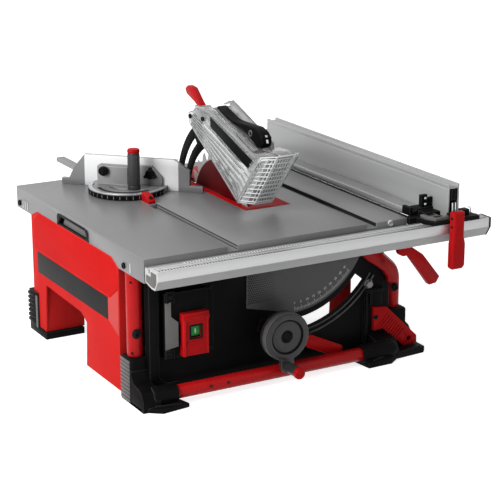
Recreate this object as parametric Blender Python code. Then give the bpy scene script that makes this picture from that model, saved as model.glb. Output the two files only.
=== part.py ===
"""Portable table saw: grey table on a red body, tilting blade unit, sliding fence and miter gauge.

The drawing frame has its origin at the table's front left top corner, X to the right along the front
edge, Y to the back and Z up. Sizes are in millimetres, and the mesh builders turn them into metres.
The root empty then moves the saw so that its origin is the middle of its bounding box on the floor.
"""

import math

import bmesh
import bpy
from mathutils import Matrix, Vector

MM = 0.001

# Table and body
TABLE_W = 570
TABLE_D = 610
TABLE_H = 298
PLATE = 6
SKIRT = 45
WALL = 4
FIT = 0.3
RUN = 0.6
SLOT_W = 21
SLOT_DEPTH = 10
SLOT_RIB = 8
SLOT_FROM_BLADE = 162.5
RIGHT_SLOT_FROM_EDGE = 82
INSERT_W = 103
INSERT_T = 4
INSERT_FRONT_RIM = 23.9
INSERT_BACK_RIM = 23.8
INSERT_LEDGE = 5
GRIP_Y = 242
GRIP_L = 151
GRIP_SLANT = 15
GRIP_DEPTH = 22
GRIP_TOP = 8
SHEET = 3.5
SIDE_TOP = 31
SIDE_FRONT_Y = 110
SIDE_BACK_Y = 533
SIDE_EDGE = 26
SIDE_SLANT_FRONT = 29
SIDE_SLANT_BACK = 34
SIDE_LEG_GAP = 9
ARCH_FRONT_Y = 268
ARCH_BACK_Y = 472
ARCH_TOP = 184
RIGHT_LEG_Y = 195
REAR_LEG_W = 84

# Front panel
PANEL_Y = 62
PANEL_T = 4
PANEL_X = 31.3
PANEL_RIGHT_GAP = 10
PANEL_LOW = 14
PANEL_CORNER = 40
RIM_W = 20
RIM_OUT = 15
ARC_SLOT_W = 22
ARC_SLOT_FROM = -19
ARC_SLOT_TO = 51
SCALE_TO_SLOT = 25
SCALE_LEFT = 101
SCALE_RIGHT = 155
SCALE_LOW = 150
SCALE_T = 3

# Frame tubes and feet
TUBE_R = 13.5
CROSS_Y = 22
CROSS_UP = 24
POST_R = 15
POST_X = 15.5
POST_Y = 78
UPRIGHT_OUT = 26
UPRIGHT_Y = 82
UPRIGHT_BEND_Z = -150
UPRIGHT_IN = 55
UPRIGHT_RISE = 50
BEND_R = 40
FOOT_TOP = 90
FOOT_BASE_H = 44
FOOT_OUT = 6
SOLE_H = 10
OUTRIGGER = 70
REAR_FOOT_Y = 465
REAR_FOOT_L = 88
REAR_FOOT_W = 83

# Blade unit
BLADE_FROM_RIGHT = 225
BLADE_FROM_BACK = 255
BLADE_R = 125
BLADE_T = 2
CUT_HEIGHT = 87
BEVEL_MAX_ANGLE = 45
TEETH = 24
GULLET = 17
BLADE_SLOT_W = 14
BLADE_SLOT_FRONT = 12
BLADE_SLOT_BACK = 10
ARBOR_R = 8
FLANGE_R = 20
FLANGE_T = 4
NUT_R = 13
NUT_T = 9
TRUNNION_R = 74
TRUNNION_T = 12
TRUNNION_FRONT_Y = 140
SHOE_T = 17
CRADLE_T = 12
CRADLE_LEFT = 100
CRADLE_RIGHT = 30
CRADLE_TOP = 50
CRADLE_LOW = 226
FLOOR_PLATE_T = 8
ROD_R = 7
ROD_X = 75
SCREW_R = 6
LIFT_PLATE_X = 22
LIFT_PLATE_T = 10
LIFT_TOP = 46
LIFT_H = 37
LIFT_BOSS = 73
GEARBOX_T = 26
GEARBOX_HALF = 42
GEARBOX_TOP = 14
BEARING_R = 17
MOTOR_R = 42
MOTOR_L = 112
MOTOR_DROP = 45
SHROUD_GAP = 6
SHROUD_WALL = 2
SHROUD_HALF_W = 18
SHROUD_TOP = 62
KNIFE_T = 2.2
KNIFE_GAP = 8
KNIFE_W = 57
KNIFE_SLOT_FROM = 21
KNIFE_SLOT_W = 14
KNIFE_LUG = 15

# Handwheel and bevel lock
WHEEL_ANGLE = -13.5
WHEEL_OVER_FLOOR = 95
WHEEL_PAST_SLOT = 2
WHEEL_R = 47
WHEEL_FRONT_Y = -6
WHEEL_DEPTH = 36
LOBE_OUT = 59
LOBE_R = 14
LOBE_T = 8
SHAFT_R = 5
THREAD_COUNT = 9
GEAR_R = 18
GEAR_FACE = 8
SCREW_Y = 200
GRIP_R = 10
GRIP_LEN = 46
LOCK_Y = 37
LOCK_T = 8
LOCK_LEN = 165
LOCK_W = 26
LOCK_DROP = 25

# Blade guard
GUARD_HALF_W = 41
GUARD_WALL = 2.5
GUARD_MID = 4
GUARD_BEHIND = 39
GUARD_PIVOT_IN = 2
GUARD_PIN_R = 5
SPINE_W = 20
BAR_W = 25
BAR_X = 8

# Rails and fence
RAIL_BEYOND = 163
RAIL_W = 50
RAIL_GAP = 5
RAIL_TOP = 8
RAIL_H = 38
REAR_RAIL_W = 26
REAR_RAIL_TOP = 11
REAR_RAIL_H = 30
CROSS_BAR_R = 9
CROSS_BAR_IN = 22
GUIDE_L = 60
RAIL_LEVER_X = 551
RAIL_LEVER_R = 13
RAIL_LEVER_T = 12
FENCE_X = 636
FENCE_W = 26
FENCE_H = 66
FENCE_LIFT = 1
FENCE_FRONT = 42
FENCE_BACK = 50
FENCE_WALL = 3
HEAD_LEFT = 43
HEAD_RIGHT = 76
HEAD_T = 14
LEVER_W = 40
LEVER_NECK = 33
LEVER_L = 116
LEVER_T = 15
LEVER_UP = 17
SUPPORT_W = 54
SUPPORT_T = 2.5
SUPPORT_LIP = 12
SUPPORT_FROM = 38
SUPPORT_TO = 20

# Miter gauge
MITER_BEHIND_BLADE = 98
MITER_ANGLE = 45
BAR_WIDTH = 19
BAR_FRONT = 118
BAR_BACK = 352
DISC_R = 80
DISC_T = 12
MITER_FENCE_OFF = 25
MITER_FENCE_L = 310
MITER_PLATE_L = 206
MITER_FENCE_H = 67
MITER_FENCE_T = 10
MITER_WING_H = 13
MITER_SHOULDER = 24
MITER_TILT_GAP = 2
MITER_BLOCK_L = 66
MITER_BLOCK_H = 38
HANDLE_OFF = 33
HANDLE_R = 11
HANDLE_H = 84
HANDLE_SCREW_R = 4

# Switch and push stick
SWITCH_X = 62
SWITCH_W = 90
SWITCH_TOP = 88
SWITCH_H = 128
SWITCH_T = 17
FLAP_X = 92
FLAP_W = 55
FLAP_TOP = 128
FLAP_H = 84
FLAP_T = 15
BUTTON = 22
BUTTON_DROP = 27
BUTTON_SWING_GAP = 2.6
BUTTON_T = 10
STICK_Y = 47
STICK_T = 9
HOLDER_W = 44

# Places worked out from the sizes above
FLOOR_Z = -TABLE_H
RIGHT_SLOT_X = TABLE_W - RIGHT_SLOT_FROM_EDGE
BLADE_X = TABLE_W - BLADE_FROM_RIGHT
BLADE_Y = TABLE_D - BLADE_FROM_BACK
LEFT_SLOT_X = BLADE_X - SLOT_FROM_BLADE
MITER_Y = BLADE_Y + MITER_BEHIND_BLADE
ARBOR_Z = CUT_HEIGHT - BLADE_R
KNIFE_IN = BLADE_R + KNIFE_GAP
KNIFE_OUT = KNIFE_IN + KNIFE_W
SHROUD_R = BLADE_R + SHROUD_GAP
GUARD_PIVOT_Y = BLADE_Y + GUARD_BEHIND
GUARD_PIVOT_Z = ARBOR_Z + KNIFE_OUT - GUARD_PIVOT_IN
BLADE_SLOT_FROM = BLADE_Y - math.sqrt(BLADE_R**2 - ARBOR_Z**2) - BLADE_SLOT_FRONT
BLADE_SLOT_TO = BLADE_Y + math.sqrt(KNIFE_OUT**2 - ARBOR_Z**2) + BLADE_SLOT_BACK
INSERT_X = BLADE_X - 23
INSERT_Y = BLADE_SLOT_FROM - INSERT_FRONT_RIM
INSERT_L = BLADE_SLOT_TO + INSERT_BACK_RIM - INSERT_Y
CRADLE_FRONT_Y = TRUNNION_FRONT_Y + TRUNNION_T + RUN
REAR_TRUNNION_Y = TABLE_D - WALL - TRUNNION_T - 10
CRADLE_BACK_Y = REAR_TRUNNION_Y - RUN
WHEEL_ARC_R = TABLE_H - WHEEL_OVER_FLOOR
ARC_SLOT_R = WHEEL_ARC_R - WHEEL_PAST_SLOT
SCALE_R = ARC_SLOT_R - SCALE_TO_SLOT
WHEEL_X = BLADE_X + WHEEL_ARC_R * math.sin(math.radians(WHEEL_ANGLE))
WHEEL_Z = -WHEEL_ARC_R * math.cos(math.radians(WHEEL_ANGLE))
LIFT_LEFT = BLADE_X - LIFT_PLATE_X - LIFT_PLATE_T
ROD_FRONT_Y = SCREW_Y - 10
ROD_BACK_Y = CRADLE_BACK_Y - CRADLE_T - 24
MOTOR_Z = ARBOR_Z - MOTOR_DROP
RAIL_END = TABLE_W + RAIL_BEYOND
RAIL_FRONT_Y = -RAIL_GAP - RAIL_W
REAR_RAIL_Y = TABLE_D + RAIL_GAP
LEVER_FRONT_Y = RAIL_FRONT_Y - 1 - LEVER_T
FENCE_END_Y = TABLE_D + FENCE_BACK
FENCE_TOP = FENCE_LIFT + FENCE_H
BAR_END_Y = MITER_Y + BAR_BACK
FRAME_MIDDLE = Vector(
    ((RAIL_END - FOOT_OUT) / 2, (BAR_END_Y + LEVER_FRONT_Y) / 2, FLOOR_Z)
)


# Materials


def material(name, colour, roughness, metallic=0.0, alpha=1.0):
    made = bpy.data.materials.new(name)
    made.use_nodes = True
    shader = made.node_tree.nodes["Principled BSDF"]
    shader.inputs["Base Color"].default_value = (*colour, 1.0)
    shader.inputs["Roughness"].default_value = roughness
    shader.inputs["Metallic"].default_value = metallic
    shader.inputs["Alpha"].default_value = alpha
    made.diffuse_color = (*colour, 1.0)
    return made


def make_materials():
    return {
        "red": material("red_paint", (0.60, 0.02, 0.025), 0.4),
        "red_plastic": material("red_plastic", (0.52, 0.015, 0.025), 0.45),
        "black": material("black_plastic", (0.015, 0.015, 0.016), 0.5),
        "grey": material("grey_table", (0.30, 0.30, 0.31), 0.45, 0.6),
        "silver": material("silver_profile", (0.62, 0.62, 0.63), 0.35, 0.9),
        "steel": material("steel", (0.45, 0.45, 0.46), 0.3, 1.0),
        "dark_steel": material("dark_steel", (0.03, 0.03, 0.032), 0.4, 0.7),
        "cast": material("cast_metal", (0.22, 0.22, 0.23), 0.55, 0.6),
        "green": material("green_plastic", (0.03, 0.42, 0.06), 0.35),
        "clear": material("clear_plastic", (0.8, 0.82, 0.83), 0.15, 0.0, 0.4),
        "blade": material("blade_coat", (0.16, 0.01, 0.015), 0.4, 0.3),
    }


# Mesh builders


def finish(name, mesh_bm, colour):
    bmesh.ops.recalc_face_normals(mesh_bm, faces=mesh_bm.faces)
    mesh = bpy.data.meshes.new(name)
    mesh_bm.to_mesh(mesh)
    mesh_bm.free()
    mesh.shade_smooth()
    mesh.set_sharp_from_angle(angle=math.radians(35))
    made = bpy.data.objects.new(name, mesh)
    bpy.context.scene.collection.objects.link(made)
    made.data.materials.append(MATERIALS[colour])
    return made


def lay(axis, u, v, along):
    """A point in metres from two sizes across an axis and one along it."""
    order = {"X": (along, u, v), "Y": (u, along, v), "Z": (u, v, along)}
    return Vector(order[axis]) * MM


def prism(name, outline, start, end, axis, colour):
    made = bmesh.new()
    low = [made.verts.new(lay(axis, u, v, start)) for u, v in outline]
    high = [made.verts.new(lay(axis, u, v, end)) for u, v in outline]
    made.faces.new(low)
    made.faces.new(list(reversed(high)))
    count = len(outline)
    for i in range(count):
        j = (i + 1) % count
        made.faces.new((low[i], low[j], high[j], high[i]))
    return finish(name, made, colour)


def box(name, x, y, z, colour):
    corners = [(x[0], y[0]), (x[1], y[0]), (x[1], y[1]), (x[0], y[1])]
    return prism(name, corners, z[0], z[1], "Z", colour)


def turned(name, profile, centre, axis, colour, steps=32):
    """A body of revolution: profile holds (radius, along) and starts and ends on the axis or is closed."""
    made = bmesh.new()
    rings = []
    for radius, along in profile:
        count = steps if radius > 0 else 1
        ring = []
        for i in range(count):
            angle = 2 * math.pi * i / count
            u = centre[0] + radius * math.cos(angle)
            v = centre[1] + radius * math.sin(angle)
            ring.append(made.verts.new(lay(axis, u, v, along)))
        rings.append(ring)
    pairs = list(zip(rings, rings[1:]))
    if profile[0][0] > 0:
        pairs.append((rings[-1], rings[0]))
    for first, second in pairs:
        for i in range(steps):
            j = (i + 1) % steps
            corners = [first[i % len(first)], first[j % len(first)]]
            corners += [second[j % len(second)], second[i % len(second)]]
            unique = list(dict.fromkeys(corners))
            if len(unique) > 2:
                made.faces.new(unique)
    return finish(name, made, colour)


def rod(name, radius, centre, start, end, axis, colour, steps=32):
    return turned(name, [(0, start), (radius, start), (radius, end), (0, end)], centre, axis, colour, steps)


def swept(name, path, radius, colour, sides=20):
    """A round bar along a path, given as its (x, z) points and the y that they share."""
    points, y = path
    made = bmesh.new()
    rings = []
    for i, (x, z) in enumerate(points):
        before = points[max(i - 1, 0)]
        after = points[min(i + 1, len(points) - 1)]
        run = Vector((after[0] - before[0], 0, after[1] - before[1])).normalized()
        side = Vector((-run.z, 0, run.x))
        ring = []
        for k in range(sides):
            angle = 2 * math.pi * k / sides
            offset = side * (radius * math.cos(angle)) + Vector((0, radius * math.sin(angle), 0))
            ring.append(made.verts.new((Vector((x, y, z)) + offset) * MM))
        rings.append(ring)
    for first, second in zip(rings, rings[1:]):
        for k in range(sides):
            j = (k + 1) % sides
            made.faces.new((first[k], first[j], second[j], second[k]))
    made.faces.new(rings[0])
    made.faces.new(list(reversed(rings[-1])))
    return finish(name, made, colour)


def combine(target, others, operation):
    for other in others:
        modifier = target.modifiers.new(operation.lower(), "BOOLEAN")
        modifier.operation = operation
        modifier.solver = "EXACT"
        modifier.object = other
    bpy.context.view_layer.update()
    graph = bpy.context.evaluated_depsgraph_get()
    mesh = bpy.data.meshes.new_from_object(target.evaluated_get(graph))
    target.modifiers.clear()
    target.data = mesh
    for other in others:
        bpy.data.objects.remove(other)
    return target


def cut(target, *others):
    return combine(target, others, "DIFFERENCE")


def join(target, *others):
    return combine(target, others, "UNION")


def arc(centre, radius, start, end, steps):
    """Points on an arc, with angles in degrees from straight down, growing to the right."""
    points = []
    for i in range(steps + 1):
        angle = math.radians(start + (end - start) * i / steps)
        points.append((centre[0] + radius * math.sin(angle), centre[1] - radius * math.cos(angle)))
    return points


def ring_sector(centre, inner, outer, start, end, steps):
    return arc(centre, outer, start, end, steps) + arc(centre, inner, end, start, steps)


def round_corner(centre, radius, start, end, steps=6):
    return arc(centre, radius, start, end, steps)


def mirrored(outline):
    return [(TABLE_W - x, y) for x, y in reversed(outline)]


# Moving groups


def joint(name, place, parent):
    """An empty on a joint's axis, in the drawing frame."""
    made = bpy.data.objects.new(name, None)
    bpy.context.scene.collection.objects.link(made)
    made.parent = parent
    start = PLACES[parent.name] if parent else Vector((0, 0, 0))
    made.location = (Vector(place) - start) * MM
    PLACES[name] = Vector(place)
    return made


def put(group, *pieces):
    for piece in pieces:
        piece.parent = group
        piece.location = -PLACES[group.name] * MM


# Table, insert and side grip


def side_notch(grow):
    """The top edge of the left side panel in (y, z), grown by a clearance."""
    return [
        (SIDE_FRONT_Y - grow, -SKIRT - 1),
        (SIDE_FRONT_Y - grow, -SKIRT),
        (SIDE_FRONT_Y + SIDE_SLANT_FRONT - grow, -SIDE_TOP + grow),
        (SIDE_BACK_Y - SIDE_SLANT_BACK + grow, -SIDE_TOP + grow),
        (SIDE_BACK_Y + grow, -SKIRT),
        (SIDE_BACK_Y + grow, -SKIRT - 1),
    ]


def grip_outline(shrink):
    low = -SIDE_TOP + FIT + shrink
    high = -GRIP_TOP - shrink
    return [
        (GRIP_Y + shrink, low),
        (GRIP_Y + GRIP_SLANT + shrink, high),
        (GRIP_Y + GRIP_L - GRIP_SLANT - shrink, high),
        (GRIP_Y + GRIP_L - shrink, low),
    ]


def build_table():
    top = box("table_top", (0, TABLE_W), (0, TABLE_D), (-SKIRT, 0), "grey")
    inside = ((WALL, TABLE_W - WALL), (WALL, TABLE_D - WALL), (-SKIRT - 1, -PLATE))
    cut(top, box("hollow", *inside, "grey"))
    rib_half = SLOT_W / 2 + SLOT_RIB
    slots = (LEFT_SLOT_X, RIGHT_SLOT_X)
    ribs = [
        box("rib", (x - rib_half, x + rib_half), (1, TABLE_D - 1), (-SLOT_DEPTH - PLATE, -PLATE + 1), "grey")
        for x in slots
    ]
    join(top, *ribs)
    cutters = [
        box("slot", (x - SLOT_W / 2, x + SLOT_W / 2), (-1, TABLE_D + 1), (-SLOT_DEPTH, 1), "grey")
        for x in slots
    ]
    insert_x = (INSERT_X - FIT, INSERT_X + INSERT_W + FIT)
    insert_y = (INSERT_Y - FIT, INSERT_Y + INSERT_L + FIT)
    cutters.append(box("seat", insert_x, insert_y, (-INSERT_T - FIT, 1), "grey"))
    opening_x = (INSERT_X + INSERT_LEDGE, INSERT_X + INSERT_W - INSERT_LEDGE)
    opening_y = (INSERT_Y + INSERT_LEDGE, INSERT_Y + INSERT_L - INSERT_LEDGE)
    cutters.append(box("opening", opening_x, opening_y, (-PLATE - 1, 0), "grey"))
    cutters.append(prism("notch", side_notch(FIT), -1, WALL + 1, "X", "grey"))
    hole = [
        (GRIP_Y - 2, -SIDE_TOP - 1),
        (GRIP_Y + GRIP_SLANT - 1, -GRIP_TOP + FIT),
        (GRIP_Y + GRIP_L - GRIP_SLANT + 1, -GRIP_TOP + FIT),
        (GRIP_Y + GRIP_L + 2, -SIDE_TOP - 1),
    ]
    cutters.append(prism("grip_hole", hole, -1, WALL + 1, "X", "grey"))
    cut(top, *cutters)

    insert = box(
        "table_insert",
        (INSERT_X, INSERT_X + INSERT_W),
        (INSERT_Y, INSERT_Y + INSERT_L),
        (-INSERT_T, 0),
        "red_plastic",
    )
    slot_x = (BLADE_X - BLADE_SLOT_W / 2, BLADE_X + BLADE_SLOT_W / 2)
    slot_y = (BLADE_SLOT_FROM, BLADE_SLOT_TO)
    cut(insert, box("blade_slot", slot_x, slot_y, (-INSERT_T - 1, 1), "red_plastic"))

    cup = prism("grip_cup", grip_outline(FIT), FIT, GRIP_DEPTH, "X", "black")
    cut(cup, prism("pocket", grip_outline(FIT + 3), FIT - 1, GRIP_DEPTH - 3, "X", "black"))
    put(ROOT, top, insert, cup)


# Sheet body


def build_side_panels():
    low = FLOOR_Z + SIDE_LEG_GAP
    foot = FLOOR_Z + SOLE_H + FIT + 5
    left = [
        (SIDE_FRONT_Y, low),
        (ARCH_FRONT_Y, low),
        (ARCH_FRONT_Y - 6, -ARCH_TOP - 14),
        (ARCH_FRONT_Y + 18, -ARCH_TOP),
        (ARCH_BACK_Y - 6, -ARCH_TOP + 5),
        (ARCH_BACK_Y, foot),
        (SIDE_BACK_Y, foot),
    ] + list(reversed(side_notch(0)[1:5]))
    top = -SKIRT - FIT
    right = [
        (RIGHT_LEG_Y, low),
        (ARCH_FRONT_Y + 7, low),
        (ARCH_FRONT_Y + 1, -ARCH_TOP - 14),
        (ARCH_FRONT_Y + 25, -ARCH_TOP),
        (ARCH_BACK_Y - 6, -ARCH_TOP + 5),
        (ARCH_BACK_Y, foot),
        (SIDE_BACK_Y, foot),
        (SIDE_BACK_Y, top),
        (RIGHT_LEG_Y, top),
    ]
    panels = {
        "left": prism("left_side_panel", left, 0, SHEET, "X", "red"),
        "right": prism("right_side_panel", right, TABLE_W - SHEET, TABLE_W, "X", "red"),
    }
    for side, panel in panels.items():
        start = SHEET / 2
        end = start + (REAR_LEG_W if side == "left" else REAR_LEG_W * 0.75)
        front = ARCH_BACK_Y
        back = SIDE_BACK_Y
        outline = [
            (start, front),
            (end, front),
            (end, front + SHEET),
            (start + SHEET, front + SHEET),
            (start + SHEET, back - SHEET),
            (end, back - SHEET),
            (end, back),
            (start, back),
        ]
        if side == "right":
            outline = mirrored(outline)
        join(panel, prism("rear_leg", outline, foot, top, "Z", "red"))
        put(ROOT, panel)
    edge_y = (SIDE_FRONT_Y, SIDE_FRONT_Y + SHEET)
    join(panels["left"], box("front_edge", (SHEET / 2, SHEET + SIDE_EDGE), edge_y, (low, top), "red"))


def build_front_panel():
    right = TABLE_W - PANEL_RIGHT_GAP
    low = FLOOR_Z + PANEL_LOW
    top = -SKIRT - FIT
    corner = (PANEL_X + PANEL_CORNER, low + PANEL_CORNER)
    outline = [(PANEL_X, top)] + round_corner(corner, PANEL_CORNER, -90, 0)
    outline += [(right, low), (right, top)]
    panel = prism("front_panel", outline, PANEL_Y, PANEL_Y + PANEL_T, "Y", "black")
    inner = PANEL_CORNER - RIM_W
    rim = [(PANEL_X, top)] + round_corner(corner, PANEL_CORNER, -90, 0)
    rim += [(corner[0] + 20, low), (corner[0] + 20, low + RIM_W)]
    rim += round_corner(corner, inner, 0, -90) + [(PANEL_X + RIM_W, top)]
    join(panel, prism("rim", rim, PANEL_Y - RIM_OUT, PANEL_Y + 1, "Y", "black"))
    slot = ring_sector(
        (BLADE_X, 0),
        ARC_SLOT_R - ARC_SLOT_W / 2,
        ARC_SLOT_R + ARC_SLOT_W / 2,
        ARC_SLOT_FROM,
        ARC_SLOT_TO,
        20,
    )
    cut(panel, prism("arc_slot", slot, PANEL_Y - 1, PANEL_Y + PANEL_T + 1, "Y", "black"))

    scale = [(BLADE_X - SCALE_LEFT, top), (BLADE_X - SCALE_LEFT, -SCALE_LOW)]
    scale += arc((BLADE_X, 0), SCALE_R, 2, 62, 18) + [(BLADE_X + SCALE_RIGHT, top)]
    front = PANEL_Y - FIT - SCALE_T
    put(ROOT, prism("bevel_scale_plate", scale, front, PANEL_Y - FIT, "Y", "cast"))
    return panel


# Frame tubes and feet


def upright_path():
    """The right upright: out of the foot, up, and bent in under the table."""
    x = TABLE_W + UPRIGHT_OUT
    lean = math.degrees(math.atan2(UPRIGHT_IN, UPRIGHT_RISE))
    bend = [
        (x - BEND_R + BEND_R * math.cos(math.radians(a)), UPRIGHT_BEND_Z + BEND_R * math.sin(math.radians(a)))
        for a in [lean * i / 5 for i in range(6)]
    ]
    last = bend[-1]
    up = (-SKIRT - 16 - last[1]) / math.cos(math.radians(lean))
    knee = (last[0] - up * math.sin(math.radians(lean)), -SKIRT - 16)
    foot = FLOOR_Z + FOOT_BASE_H + FIT
    end = (knee[0] - 9, -SLOT_DEPTH - PLATE - FIT)
    return [(x, foot)] + bend + [knee, (knee[0] - 8, -SKIRT), end], UPRIGHT_Y


def cross_path(radius):
    z = FLOOR_Z + CROSS_UP
    return [(46 - radius, z), (TABLE_W - 52 + radius, z)], CROSS_Y


def build_tubes():
    post_low = FLOOR_Z + FOOT_TOP + FIT
    post = rod("left_upright_tube", POST_R, (POST_X, POST_Y), post_low, -SKIRT - FIT, "Z", "red")
    upright = swept("right_upright_tube", upright_path(), TUBE_R, "red")
    put(ROOT, post, upright, swept("front_cross_tube", cross_path(0), TUBE_R, "red"))


def front_foot_outline():
    return [
        (-FOOT_OUT, 98),
        (-FOOT_OUT, 12),
        (8, -7),
        (32, -10),
        (80, -2),
        (80, 44),
        (31, 44),
        (31, 98),
    ]


def build_feet():
    base_top = FLOOR_Z + FOOT_BASE_H
    socket = TUBE_R + FIT
    left = prism("foot_front_left", front_foot_outline(), FLOOR_Z, base_top, "Z", "black")
    column = box("column", (-FOOT_OUT + 1, 31), (56, 98), (base_top - 1, FLOOR_Z + FOOT_TOP), "black")
    join(left, column)
    cut(left, swept("socket", cross_path(FIT), socket, "black"))

    right_edge = TABLE_W + OUTRIGGER
    toe = mirrored([(4, 44), (4, 12), (14, -5), (32, -10), (80, -2), (80, 44)])
    right = prism("foot_front_right", toe, FLOOR_Z, base_top, "Z", "black")
    heel = UPRIGHT_Y + TUBE_R + 8
    sole_left = TABLE_W - 60
    sole = [(sole_left, heel), (sole_left, 11), (right_edge - 6, 11), (right_edge, 20), (right_edge, heel)]
    x = TABLE_W + UPRIGHT_OUT
    inner = TABLE_W - PANEL_RIGHT_GAP + 2
    body = [
        (inner, FLOOR_Z + SOLE_H - 1),
        (right_edge, FLOOR_Z + SOLE_H - 1),
        (right_edge, FLOOR_Z + SOLE_H + 6),
        (x + 19, FLOOR_Z + FOOT_TOP),
        (x - 19, FLOOR_Z + FOOT_TOP),
        (inner, FLOOR_Z + FOOT_BASE_H),
    ]
    join(
        right,
        prism("sole", sole, FLOOR_Z, FLOOR_Z + SOLE_H, "Z", "black"),
        prism("body", body, UPRIGHT_Y - TUBE_R - 8, heel, "Y", "black"),
    )
    hole_z = (FLOOR_Z + FOOT_BASE_H, FLOOR_Z + FOOT_TOP + 1)
    hole = rod("hole", socket, (x, UPRIGHT_Y), *hole_z, "Z", "black", 20)
    cut(right, hole, swept("socket", cross_path(FIT), socket, "black"))
    put(ROOT, left, right)

    for side in ("left", "right"):
        back = REAR_FOOT_Y + REAR_FOOT_L
        base = [
            (-FOOT_OUT + 2, REAR_FOOT_Y),
            (REAR_FOOT_W, REAR_FOOT_Y),
            (REAR_FOOT_W, back),
            (-FOOT_OUT + 2, back),
        ]
        shell = [
            (-FOOT_OUT + 2, REAR_FOOT_Y + 41),
            (-FIT, REAR_FOOT_Y + 41),
            (-FIT, SIDE_BACK_Y + FIT),
            (REAR_FOOT_W - 40, SIDE_BACK_Y + FIT),
            (REAR_FOOT_W - 40, back),
            (-FOOT_OUT + 2, back),
        ]
        if side == "right":
            base = mirrored(base)
            shell = mirrored(shell)
        top = FLOOR_Z + SOLE_H + 5
        foot = prism(f"foot_rear_{side}", base, FLOOR_Z, top, "Z", "black")
        join(foot, prism("shell", shell, top - 1, FLOOR_Z + FOOT_TOP, "Z", "black"))
        put(ROOT, foot)


# Rails and their lock


def rail_outline():
    """Section of the front rail in (y, z): a groove on top and a chamfer low on the front."""
    back = -RAIL_GAP
    front = RAIL_FRONT_Y
    top = -RAIL_TOP
    low = top - RAIL_H
    return [
        (back, top - 4),
        (back, low + 6),
        (back - 26, low),
        (front + 10, low),
        (front, low + 14),
        (front, top),
        (back - 19, top),
        (back - 19, top - 12),
        (back - 13, top - 12),
        (back - 13, top - 4),
    ]


def build_rails():
    group = joint("rail_axis", (TABLE_W, RAIL_FRONT_Y, -RAIL_TOP), ROOT)
    front = prism("front_rail", rail_outline(), 0, RAIL_END, "X", "silver")
    rear_y = (REAR_RAIL_Y, REAR_RAIL_Y + REAR_RAIL_W)
    rear_z = (-REAR_RAIL_TOP - REAR_RAIL_H, -REAR_RAIL_TOP)
    rear = box("rear_rail", (0, RAIL_END), rear_y, rear_z, "silver")
    bar_x = RAIL_END - CROSS_BAR_IN
    bar_z = -REAR_RAIL_TOP - REAR_RAIL_H / 2
    bar_y = (-RAIL_GAP + FIT, REAR_RAIL_Y - FIT)
    bar = rod("rail_cross_bar", CROSS_BAR_R, (bar_x, bar_z), bar_y[0], bar_y[1], "Y", "dark_steel", 20)
    put(group, front, rear, bar)

    guide_z = (-SKIRT + 6, -RAIL_TOP - 8)
    for name, y in (("front", (-RAIL_GAP + FIT, -FIT)), ("rear", (TABLE_D + FIT, REAR_RAIL_Y - FIT))):
        x = (TABLE_W - GUIDE_L - 8, TABLE_W - 8)
        put(ROOT, box(f"rail_guide_{name}", x, y, guide_z, "cast"))

    pivot = (RAIL_LEVER_X, -RAIL_TOP - RAIL_H + 2 - FIT - RAIL_LEVER_R)
    y = (-RAIL_GAP - 16, -RAIL_GAP - 16 + RAIL_LEVER_T)
    swing = joint("rail_lever_axis", (pivot[0], y[0], pivot[1]), ROOT)
    arm = [(8, 10), (44, -15), (86, -67), (78, -79), (62, -81), (8, -10), (-8, -10)]
    lever = rod("rail_lock_lever", RAIL_LEVER_R, pivot, *y, "Y", "red_plastic", 24)
    arm = [(pivot[0] + u, pivot[1] + v) for u, v in arm]
    put(swing, join(lever, prism("arm", arm, *y, "Y", "red_plastic")))
    return group


# Fence


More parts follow.
